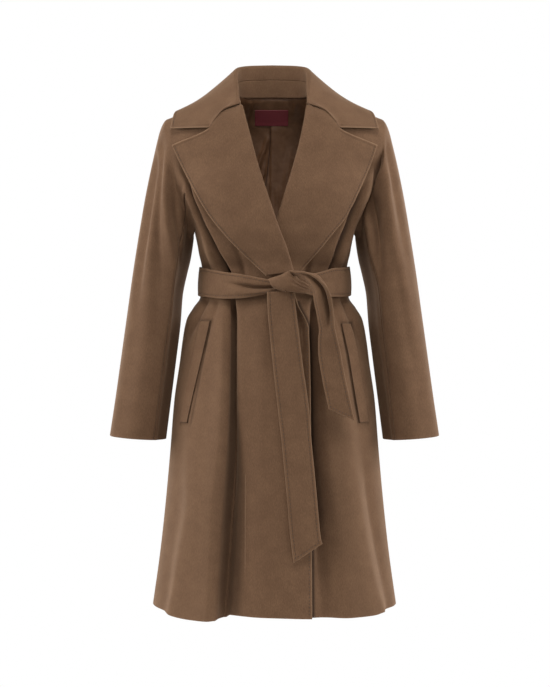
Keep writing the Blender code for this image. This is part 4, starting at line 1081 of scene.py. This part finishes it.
# The leaf comes up from its seam with the stand, over the roll as part of a circle, and out
# to its edge with a crown of crown x sin(pi share^1.7). The notch's bend fades from the end.
def collarGrids():
    at = gridLines(collarShape["rows"], collarShape["length"], start="stitched")
    roll, edge = readAlong(collar, "rollX rollY rollZ", at), readAlong(collar, "edgeX edgeY edgeZ", at)
    steps = np.linspace(0, 1, len(collarBase["x"]))
    x = readAlong(collarBase, "x", at)
    front = frontPoint(x, flow(at, steps[:3], collarBase["frontZ"][:3]))
    back = backPoint(x, flow(at, steps[2:], collarBase["backZ"][2:]), [])
    base = np.where((at < steps[2])[:, None], front, back)
    up = np.array([0, 0, 1])
    inward = -roll * np.array([1, 1, 0])
    inward /= np.linalg.norm(inward, axis=1)[:, None]
    size = np.clip(collarShape["endRadius"] + collarShape["radiusGrowth"] * at, 0, 1)
    radius = (collarShape["radius"] * size)[:, None]

    def onRoll(degrees):        # the line along the roll at one turn of its circle
        turn = np.radians(degrees)
        return roll + inward * radius * np.cos(turn) + up * radius * (np.sin(turn) - 1)

    seam = base + (roll - base) * collarShape["seamHeight"] + inward * radius * collarShape["seamInwards"]
    foot = base + inward * collarShape["footInwards"] - up * collarShape["footDrop"]   # hides the lining
    climb = np.linspace(0, 1, collarShape["climbColumns"] + 1)[None, :-1, None]
    climbing = seam[:, None] + (onRoll(0) - seam)[:, None] * climb
    turns = np.linspace(0, collarShape["rollTurn"], collarShape["rollColumns"] + 1)[:-1]
    over = np.stack([onRoll(turn) for turn in turns], axis=1)
    start = onRoll(collarShape["rollTurn"])
    across = gridLines(collarShape["leafColumns"], collarShape["leafWidth"], end="stitched")
    share = across[:, None]
    fullness = flow(at, *collarFullness)[:, None, None]
    crown = collarShape["crown"] * np.sin(np.pi * share ** collarShape["crownPower"]) * fullness
    fall = start[:, None] + (edge - start)[:, None] * share + crown * np.array(collarShape["crownWay"])
    end = np.stack([flow(across, collarShape["gorgeSteps"], gorge[k]) for k in "xyz"], axis=-1)
    bend = end - fall[0]
    corner = np.argmin(np.abs(across - notchShape["from"]))
    gentle = bend[corner] * np.sin(np.pi * share ** collarShape["bendPower"])
    fade = bell(at / collarShape["bendFade"])[:, None, None]
    quick = bell(at / collarShape["notchFade"])[:, None, None]
    fall = fall + gentle * fade + (bend - gentle) * quick
    leaf = np.concatenate([climbing, over, fall], axis=1)
    rising = np.linspace(0, 1, collarShape["standColumns"])[None, :, None]
    stand = (foot[:, None] + (seam - foot)[:, None] * rising)[at >= collarShape["standStart"]]
    past = np.concatenate([np.zeros(climb.size + turns.size), across])
    free = ease((past - notchShape["from"]) / notchShape["fade"])
    return settled(wholeCollar(stand)), settled(wholeCollar(leaf)), free


def makeCollar():
    stand, leaf, free = collarGrids()
    normals = gridNormals(leaf, (0, 0, 0))
    if normals[len(leaf) // 2, 0, 1] > 0:       # at the centre back the inner side faces the front
        normals = -normals
    leaf, wearAndPaintedLight = finished(leaf, normals, ("last", "top", "bottom"), ("last", "top", "bottom"),
                          radius=1.8 * mm, paintedLight=0.8, press=0.35, free={"top": free, "bottom": free})
    sewn = 0.5 * (1 - free)
    leaf, wearAndPaintedLight = seamed(leaf, normals, wearAndPaintedLight, {"top": sewn, "bottom": sewn})
    piece = woolPiece("collarLeaf", [leaf], lambda points: normals[:-1, :-1].reshape(-1, 3), [wearAndPaintedLight],
                      ("collar_leaf",))
    stitches = stitchPiece("collarStitches", [stitchRow(leaf, normals, "last", 0.01, 0.99)])
    piece = woolPiece("collarStand", [stand], fromAxis(0.0, -1), [], ("collar_stand",))


makeCollar()
print("collar made")


lining = {"halfBack": 108, "clearance": 1.75 * mm, "cloth": 0.8 * mm, "gather": 0.9 * mm,
          "gatherPitch": 8 * mm, "gatherReach": 16 * mm, "gatherDrift": 21 * mm,
          "ripple": 0.7 * mm, "rippleX": 9 * mm, "rippleZ": 13 * mm, "rippleDown": 17 * mm,
          "edgeDepth": 3.4 * mm, "edgeFade": 9 * mm}
pleat = {"x": -8.5 * mm, "swing": 14 * mm, "swingTop": -60 * mm, "swingOver": 120 * mm,
         "swingPower": 1.5, "reach": 1.3 * mm, "top": -34 * mm, "fade": 4 * mm}
liningFolds = [
    # the ease pleat at the centre back, with its right side on top
    [(-34, -7.5, 1.2, 20, 0), (-44, -7.5, 1.2, 22, -3.2), (-150, -7.5, 1.4, 26, -4),
     (-330, -7.5, 1.4, 30, -3)],
    # creases that fall away from it
    [(-52, -13, 3, 6, 0), (-66, -17, 3.5, 6, -4.5), (-110, -33, 4, 8, -6), (-160, -49, 5, 9, -4),
     (-205, -60, 6, 9, 0)],
    [(-90, -14, 5, 3, 0), (-130, -22, 6, 3.5, -4), (-180, -37, 7, 4, -5), (-240, -46, 8, 5, 0)],
    [(-70, 34, 6, 6, 0), (-130, 27, 7, 8, -2.5), (-200, 22, 8, 9, -4), (-260, 20, 9, 9, 0)],
    [(-150, 4, 4, 4, 0), (-190, 6, 5, 5, -3), (-250, 3, 6, 6, 0)],
    [(12, 46, 5, 5, 0), (2, 43, 5, 5, -2.5), (-30, 36, 7, 7, 0)],
    [(14, -50, 5, 5, 0), (0, -52, 6, 6, -2.5), (-60, -60, 8, 8, 0)],
]


# The back's own surface moved in, with folds and small gathers that only stand inwards.
def liningGrid():
    outside = backGrid(lining["halfBack"])[shellLines() <= beltLine][1:, 3:-3]
    facing = gridNormals(outside, (0, 1, 0))
    x, z = outside[..., 0], outside[..., 2]
    below = backNeckLine(x) - z
    phase = 2 * np.pi * x / lining["gatherPitch"] + 3 * np.sin(x / lining["gatherDrift"])
    rise = lining["gather"] * (1 - np.cos(phase)) / 2 * bell(below / lining["gatherReach"])
    slanting = np.sin(x / lining["rippleX"] + z / lining["rippleZ"])
    rise = rise + lining["ripple"] * (1 + slanting * np.sin(z / lining["rippleDown"]))
    rise = rise - foldDepth(liningFolds, x, z)
    inside = body["cloth"] + lining["clearance"] + lining["cloth"] + rise
    inside = (lining["edgeDepth"]
              + (inside - lining["edgeDepth"]) * ease(below / lining["edgeFade"]))
    return outside - facing * inside[..., None]


def makeLining():
    grid = liningGrid()
    x, z = grid[..., 0], grid[..., 2]
    swing = np.clip((pleat["swingTop"] - z) / pleat["swingOver"], 0, 1) ** pleat["swingPower"]
    beside = x - (pleat["x"] - pleat["swing"] * swing)
    # A line down the pleat is darkened as painted shade.
    pleatShade = -bell(beside / pleat["reach"]) * ease((pleat["top"] - z) / pleat["fade"])
    mesh = clothMesh("backLining", [grid], fromAxis(0.0, -1), [pleatShade])
    piece = place("backLining", mesh, satinCloth, ("lining_back",), lining["cloth"])


neckLabel = {"left": -40 * mm, "right": 28 * mm, "top": -5 * mm, "bottom": -35 * mm,
             "lift": 1.9 * mm, "bow": 0.8 * mm, "cloth": 0.8 * mm, "columns": 60, "rows": 30}


# Sewn flat on the lining, bowed inwards as sine across x sine down.
def makeLabel():
    across = np.linspace(0, 1, neckLabel["columns"])[None]
    down = np.linspace(0, 1, neckLabel["rows"])[:, None]
    x = neckLabel["left"] + (neckLabel["right"] - neckLabel["left"]) * across + 0 * down
    z = neckLabel["top"] + (neckLabel["bottom"] - neckLabel["top"]) * down + 0 * across
    under = backPoint(x, z, [])
    bow = neckLabel["bow"] * np.sin(np.pi * across) * np.sin(np.pi * down)
    inside = body["cloth"] + lining["clearance"] + lining["cloth"] + neckLabel["lift"] + bow
    label = under - gridNormals(under, (0, 1, 0)) * inside[..., None]
    mesh = clothMesh("neckLabel", [label], fromAxis(0.0, -1), [])
    piece = place("neckLabel", mesh, labelCloth, ("neck_label",), neckLabel["cloth"])


makeLining()
makeLabel()
print("lining and label made")


# A straight strip laid on the front; its outer long edge, the pocket's mouth, stands off.
def weltGrid(side):
    down = gridLines(weltShape["rows"], weltShape["length"], "rounded", "rounded")[:, None]
    across = 2 * gridLines(weltShape["columns"], weltShape["width"], "rounded", "rounded")[None] - 1
    line = welts[side]
    x = line["x"][0] + (line["x"][1] - line["x"][0]) * down + across * weltShape["halfWidth"]
    z = line["z"][0] + (line["z"][1] - line["z"][0]) * down + 0 * across
    mouth = weltShape["mouth"] * np.sin(np.pi * down) ** 0.5 * ease(side * across)
    return frontPoint(x, z, side, overlapLift(side, x, z) + weltShape["lift"] + mouth)


def makeWelts():
    for side in (right, left):
        word = sideName[side]
        grid = weltGrid(side)
        normals = gridNormals(grid, (0, -1, 0))
        # The welt's edges are darkened all round as painted shade.
        grid, wearAndPaintedLight = finished(grid, normals, ("top", "bottom", "first", "last"), radius=1.4 * mm,
                              paintedLight=-1.4)
        piece = woolPiece(f"{word}Welt", [grid], toFront, [wearAndPaintedLight], (f"welt_{word}",),
                          weltShape["cloth"])


makeWelts()
print("welts made")


# The band by its turn round the body from the front centre, in degrees.
beltTurns = np.array((3, -25, -50, -90, -135, -180, -225, -270, -310, -330, -343), dtype=float)
beltBand = columns(
    "top bottom lift",
    (-362, -382, 18), (-349, -396, 16), (-338, -392, 11), (-329.5, -386, 4.8), (-329, -386, 4.8),
    (-329, -386, 4.8), (-329, -386, 4.8), (-329.5, -386, 4.8), (-335, -391, 10), (-345, -389, 13),
    (-350, -383, 15),
)
beltShape = {"columns": 420, "rows": 34, "width": 0.055, "foot": -388 * mm, "crown": 1.6 * mm,
             "waves": (7, 3), "ripple": 0.5 * mm, "middleRipple": 0.9 * mm, "sway": 1.2 * mm}

# Creases that run into the knot along the band: turns in degrees, the rest as shares across.
beltCrease = {"from": -40, "over": 32, "line": 0.42, "shift": 0.16, "shiftFrom": -34,
              "shiftOver": 30, "reach": 0.085, "depth": 12 * mm, "rollBelow": 0.26,
              "rollReach": 0.15, "roll": 5 * mm}
leftCrease = {"from": -305, "over": 30, "line": 0.42, "reach": 0.16, "depth": 3 * mm}


# The band's height and distance from the body are read by turn, and it stands out by a
# crown of crown x (1 - (2 share - 1)^2) and slow ripples. Towards the knot a crease runs in
# along its middle, with the lower half rolling forward under it.
def beltGrid():
    turns = np.linspace(beltTurns[0], beltTurns[-1], beltShape["columns"])[None]
    across = gridLines(beltShape["rows"], beltShape["width"], "stitched", "stitched")[:, None]
    top, bottom, lift = (flow(turns, beltTurns[::-1], beltBand[name][::-1])
                         for name in ("top", "bottom", "lift"))
    z = top + (bottom - top) * across
    drawn = ease((turns - beltCrease["from"]) / beltCrease["over"])
    shift = ease((turns - beltCrease["shiftFrom"]) / beltCrease["shiftOver"])
    away = across - (beltCrease["line"] + beltCrease["shift"] * shift)
    out = beltShape["crown"] * (1 - (2 * across - 1) ** 2)
    out = out - beltCrease["depth"] * drawn * bell(away / beltCrease["reach"])
    out = out + (beltCrease["roll"] * drawn
                 * bell((away - beltCrease["rollBelow"]) / beltCrease["rollReach"]))
    drawn = ease((leftCrease["from"] - turns) / leftCrease["over"])
    out = out - leftCrease["depth"] * drawn * bell((across - leftCrease["line"]) / leftCrease["reach"])
    angle = np.radians(turns)
    ripple = np.sin(angle * beltShape["waves"][0] + 1) * np.sin(angle * beltShape["waves"][1])
    out = out + ripple * (beltShape["middleRipple"] * np.sin(np.pi * across) + beltShape["ripple"])
    level = np.maximum(z, beltShape["foot"])
    depth = np.where(np.cos(angle) > 0, readDown(bodyRings, "front", level),
                     readDown(bodyRings, "back", level))
    x = (readDown(bodyRings, "half", level) + lift + out) * np.sin(angle)
    y = -(depth + lift + out) * np.cos(angle)
    return np.stack([x, y, z + beltShape["sway"] * ripple], axis=-1)


def pathGrid(table, at, across):        # middle + across x side
    middle, aside = readAlong(table, "x y z", at), readAlong(table, "sx sy sz", at)
    return middle[:, None] + aside[:, None] * across[None, :, None]


longTail = columns(
    "x y z sx sy sz",
    (11, -150, -383, 25, 2, 0), (15, -149.5, -430, 27, 0, 0), (25, -151, -520, 28, -2, 1),
    (35, -154, -600, 29, -1, 2), (42, -157, -670, 28, 2, 2), (50, -163, -755, 28, 1, 2),
    (57, -170, -835, 28, 0, 2), (62, -173, -868, 27, 0, 18),
)
shortTail = columns(
    "x y z sx sy sz",
    (31, -157, -349, -4, -1, 5), (54, -170, -353.5, 2, -6, 7), (71, -179, -364, 6, -8, 8),
    (84.5, -182, -382, 13.5, -8, 3.5), (88.5, -180, -398.5, 16, -8, 2), (93, -175, -421.5, 15, -7, 3.5),
    (96.5, -170, -448, 14.5, -5, 2), (99, -166, -474, 18.5, -3, 0), (103, -162, -505, 21.5, -1, 0),
    (110.5, -160, -547, 22, 0, 0), (124.7, -161, -612, 24.2, 0, -11),
)
tailRows = 150


# Each end is ruled across its path, then moved along its own normal: a slight crown and
# slow waves; the short one is folded along its length over the loop, which opens below.
def tailGrid(table, length, rise):
    at = gridLines(tailRows, length, end="stitched")
    across = 2 * gridLines(beltShape["rows"], beltShape["width"], "stitched", "stitched") - 1
    flat = pathGrid(table, at, across)
    facing = gridNormals(flat, (0, -1, 0))
    grid = flat + facing * rise(at[:, None], across[None])[..., None]
    return grid, gridNormals(grid, (0, -1, 0))


longWave = {"crown": 1.2 * mm, "height": 1.6 * mm, "waves": 1.3, "phase": 0.6, "middle": 0.4}
shortWave = {"crown": 1.5 * mm, "height": 1.4 * mm, "waves": 1.5}
shortFold = {"depth": 17 * mm, "from": 0.06, "over": 0.16, "opensFrom": 0.50, "opensOver": 0.14,
             "line": 0.24, "reach": 0.20, "lobe": 0.25, "lobeLine": -0.35, "lobeReach": 0.4}


# Crown x (1 - across^2) + height x sine of the waves, which are strongest at the left edge.
def longRise(at, across):
    wave = np.sin(2 * np.pi * at * longWave["waves"] + longWave["phase"])
    lean = longWave["middle"] + (1 - longWave["middle"]) * across
    return longWave["crown"] * (1 - across**2) + longWave["height"] * wave * lean * ease(at * 4)


# The same, less the fold: depth x a bell of the distance from its line, with a lobe beside it.
def shortRise(at, across):
    folded = (ease((at - shortFold["from"]) / shortFold["over"])
              * (1 - ease((at - shortFold["opensFrom"]) / shortFold["opensOver"])))
    trough = bell((across - shortFold["line"]) / shortFold["reach"])
    lobe = shortFold["lobe"] * bell((across - shortFold["lobeLine"]) / shortFold["lobeReach"])
    wave = shortWave["height"] * np.sin(2 * np.pi * at * shortWave["waves"]) * across
    soft = shortWave["crown"] * (1 - across**2) + wave
    return soft + folded * (lobe - trough) * shortFold["depth"]


# The wrap over the knot: a band gathered to the wearer's left, with creases that run in.
# Across goes from its lower edge to its upper one.
knotWrap = columns(
    "x y z sx sy sz",
    (-5, -149, -370, -9.7, 2, 10.2), (11, -162, -367.3, -4.6, 1, 15), (29.7, -166, -364.3, -2.8, 0, 20),
    (45, -161, -371, -4.2, 0, 15), (66, -148, -378.8, -1.9, 0, 8.8),
)
knotCore = columns(
    "x y z high deep",
    (-9, -139, -366, 3, 4), (-2, -145, -368, 8, 8), (14, -148, -367, 15, 12), (32, -149, -366, 18, 13),
    (46, -147, -371, 13, 11), (60, -141, -376, 5, 5),
)
knotShape = {"rows": 70, "length": 0.09, "columns": 60, "width": 0.05, "round": 8 * mm,
             "roundEarly": 0.12, "creaseOver": 0.4, "spread": 1.15, "closing": 0.25,
             "coreRows": 60, "coreColumns": 73}

# Each crease: its line and reach across, its depth in millimetres and where along it starts.
knotCreases = [(-0.62, 0.2, 1.6, 0.24), (-0.12, 0.17, 2.8, 0.32), (0.42, 0.2, 2.4, 0.24)]


# Bent back at both edges by round x |across|^3, less each crease as a bell.
def wrapGrid():
    at = gridLines(knotShape["rows"], knotShape["length"], "rounded")
    across = 2 * gridLines(knotShape["columns"], knotShape["width"], "rounded", "rounded") - 1
    flat = pathGrid(knotWrap, at, across)
    facing = gridNormals(flat, (0, -1, 0))
    t, w = at[:, None], across[None]
    full = np.sin(np.pi * np.clip(t + knotShape["roundEarly"], 0, 1)) ** 0.5
    rise = -knotShape["round"] * np.abs(w) ** 3 * full
    for line, reach, depth, start in knotCreases:
        run = ease((t - start) / knotShape["creaseOver"]) * (1 - 0.5 * t)
        spread = knotShape["spread"] - knotShape["closing"] * t
        rise = rise - depth * mm * run * bell((w - line * spread) / reach)
    grid = flat + facing * rise[..., None]
    return grid, gridNormals(grid, (0, -1, 0))


def coreGrid():     # ovals across the knot: half height x sine, half depth x cosine
    at = np.linspace(0, 1, knotShape["coreRows"])[:, None]
    turn = np.linspace(0, 2 * np.pi, knotShape["coreColumns"])[None]
    ring = {name: readAlong(knotCore, name, at) for name in knotCore}
    swell = (4 * at * (1 - at)) ** 0.25
    x = ring["x"] + 0 * turn
    y = ring["y"] + ring["deep"] * swell * np.cos(turn)
    z = ring["z"] + ring["high"] * swell * np.sin(turn)
    return np.stack([x, y, z], axis=-1)


def makeBelt():
    grid = beltGrid()
    normals = gridNormals(grid, grid * np.array([1, 1, 0]))
    grid, wearAndPaintedLight = finished(grid, normals, ("top", "bottom"), ("top", "bottom"), paintedLight=0.35, press=0.2)
    piece = woolPiece("beltBand", [grid], fromAxis(0.0), [wearAndPaintedLight], ("belt_band",), body["foldedCloth"])
    rows = [stitchRow(grid, normals, "bottom"), stitchRow(grid, normals, "top")]
    stitches = stitchPiece("beltStitches", rows)
    for name, table, length, rise, node, flat in (
            ("longTail", longTail, 0.50, longRise, "belt_tail_long", (0.056, 0.52)),
            ("shortTail", shortTail, 0.32, shortRise, "belt_tail_short", (0.056, 0.28))):
        grid, normals = tailGrid(table, length, rise)
        borders = ("first", "last", "bottom")
        grid, wearAndPaintedLight = finished(grid, normals, borders, borders, radius=1.2 * mm, paintedLight=0.3, press=0.2)
        piece = woolPiece(name, [grid], toFront, [wearAndPaintedLight], (node,), body["foldedCloth"])
        rows = [stitchRow(grid, normals, border) for border in borders]
        stitches = stitchPiece(f"{name}Stitches", rows)
    grid, normals = wrapGrid()
    grid, wearAndPaintedLight = finished(grid, normals, ("first", "last", "top"), radius=1.8 * mm, paintedLight=0.4)
    piece = woolPiece("knotWrap", [grid], toFront, [wearAndPaintedLight], ("belt_knot",), body["foldedCloth"])
    grid = coreGrid()
    middle = grid.reshape(-1, 3).mean(axis=0)
    core = woolPiece("knotCore", [grid], lambda points: points - middle, [], (), 0.0)


makeBelt()
print("belt made")


# Stitching down the right front's free edge, from a row of its grid behind the belt.
edgeRow = 100
grid, normals = shell[right]
stitchPiece("frontEdgeStitches", [stitchRow(grid[edgeRow:], normals[edgeRow:], "first")])

floorShape = {"height": -1.42, "radius": 1.05, "sides": 128}
floorTurn = np.linspace(0, 2 * np.pi, floorShape["sides"], endpoint=False)
floorRim = floorShape["radius"] * np.stack([np.cos(floorTurn), np.sin(floorTurn)], axis=-1)
floorMesh = bpy.data.meshes.new("floor")
floorMesh.from_pydata([(x, y, floorShape["height"]) for x, y in floorRim.tolist()], [],
                      [list(range(floorShape["sides"]))])
floor = bpy.data.objects.new("floor", floorMesh)
bpy.context.scene.collection.objects.link(floor)
floorPaint, tree, shader = newMaterial("matteFloorPaint")
feed(tree, shader, {"Base Color": hexColour("#f4f3f1"), "Roughness": 0.9})
floorMesh.materials.append(floorPaint)

lights = {
    "sideLights": {"size": 2.0, "power": 62, "places": ((-2.7, -0.2, 0.2), (2.7, -0.2, 0.2))},
    "slantLights": {"size": 1.0, "power": 17, "places": ((-2.4, -1.9, 0.4), (2.4, -1.9, 0.4))},
    "backLights": {"size": 1.6, "power": 60, "places": ((-1.9, 2.6, 0.5), (1.9, 2.6, 0.5))},
    "topLight": {"size": 1.2, "power": 32, "places": ((0, -1.4, 1.7),)},
    "frontLight": {"size": 1.8, "power": 18.5, "places": ((0, -3.4, -0.7),)},
}
lightAim, surroundLight = (0, 0, -0.35), 0.10


def addLight(name, at, size, power):        # a round lamp turned to the coat
    lamp = bpy.data.lights.new(name, "AREA")
    lamp.shape, lamp.size, lamp.energy = "DISK", size, power
    holder = bpy.data.objects.new(name, lamp)
    holder.location = at
    toAim = Vector(lightAim) - Vector(at)
    holder.rotation_euler = toAim.to_track_quat("-Z", "Y").to_euler()
    bpy.context.scene.collection.objects.link(holder)


for lightName, light in lights.items():
    for i, at in enumerate(light["places"]):
        addLight(f"{lightName}{i}", at, light["size"], light["power"])

# White to the camera, and a weak light from all round to the coat.
world = bpy.data.worlds.new("studio")
bpy.context.scene.world = world
world.use_nodes = True
tree = world.node_tree
shown = addNode(tree, "ShaderNodeBackground", {"Color": (1, 1, 1, 1), "Strength": 1.0})
lit = tree.nodes["Background"]
feed(tree, lit, {"Color": (1, 1, 1, 1), "Strength": surroundLight})
isSeen = addNode(tree, "ShaderNodeLightPath").outputs["Is Camera Ray"]
mixed = addNode(tree, "ShaderNodeMixShader", {0: isSeen, 1: lit.outputs[0], 2: shown.outputs[0]})
feed(tree, tree.nodes["World Output"], {"Surface": mixed.outputs[0]})
bpy.context.scene.view_settings.view_transform = "Standard"

# The lens's angle is twice the arctangent of half the height that the picture covers at the
# coat, over the distance to it.
view = {"distance": 2.8, "x": 0.001, "z": -0.4797, "rows": 687, "rowHeight": 0.00197}
lens = bpy.data.cameras.new("camera")
lens.sensor_fit = "VERTICAL"
lens.angle = 2 * float(np.arctan(view["rows"] * view["rowHeight"] / 2 / view["distance"]))
camera = bpy.data.objects.new("camera", lens)
camera.location = (view["x"], -view["distance"], view["z"])
camera.rotation_euler = (np.pi / 2, 0, 0)
bpy.context.scene.collection.objects.link(camera)
bpy.context.scene.camera = camera
print("floor, lights and camera placed")
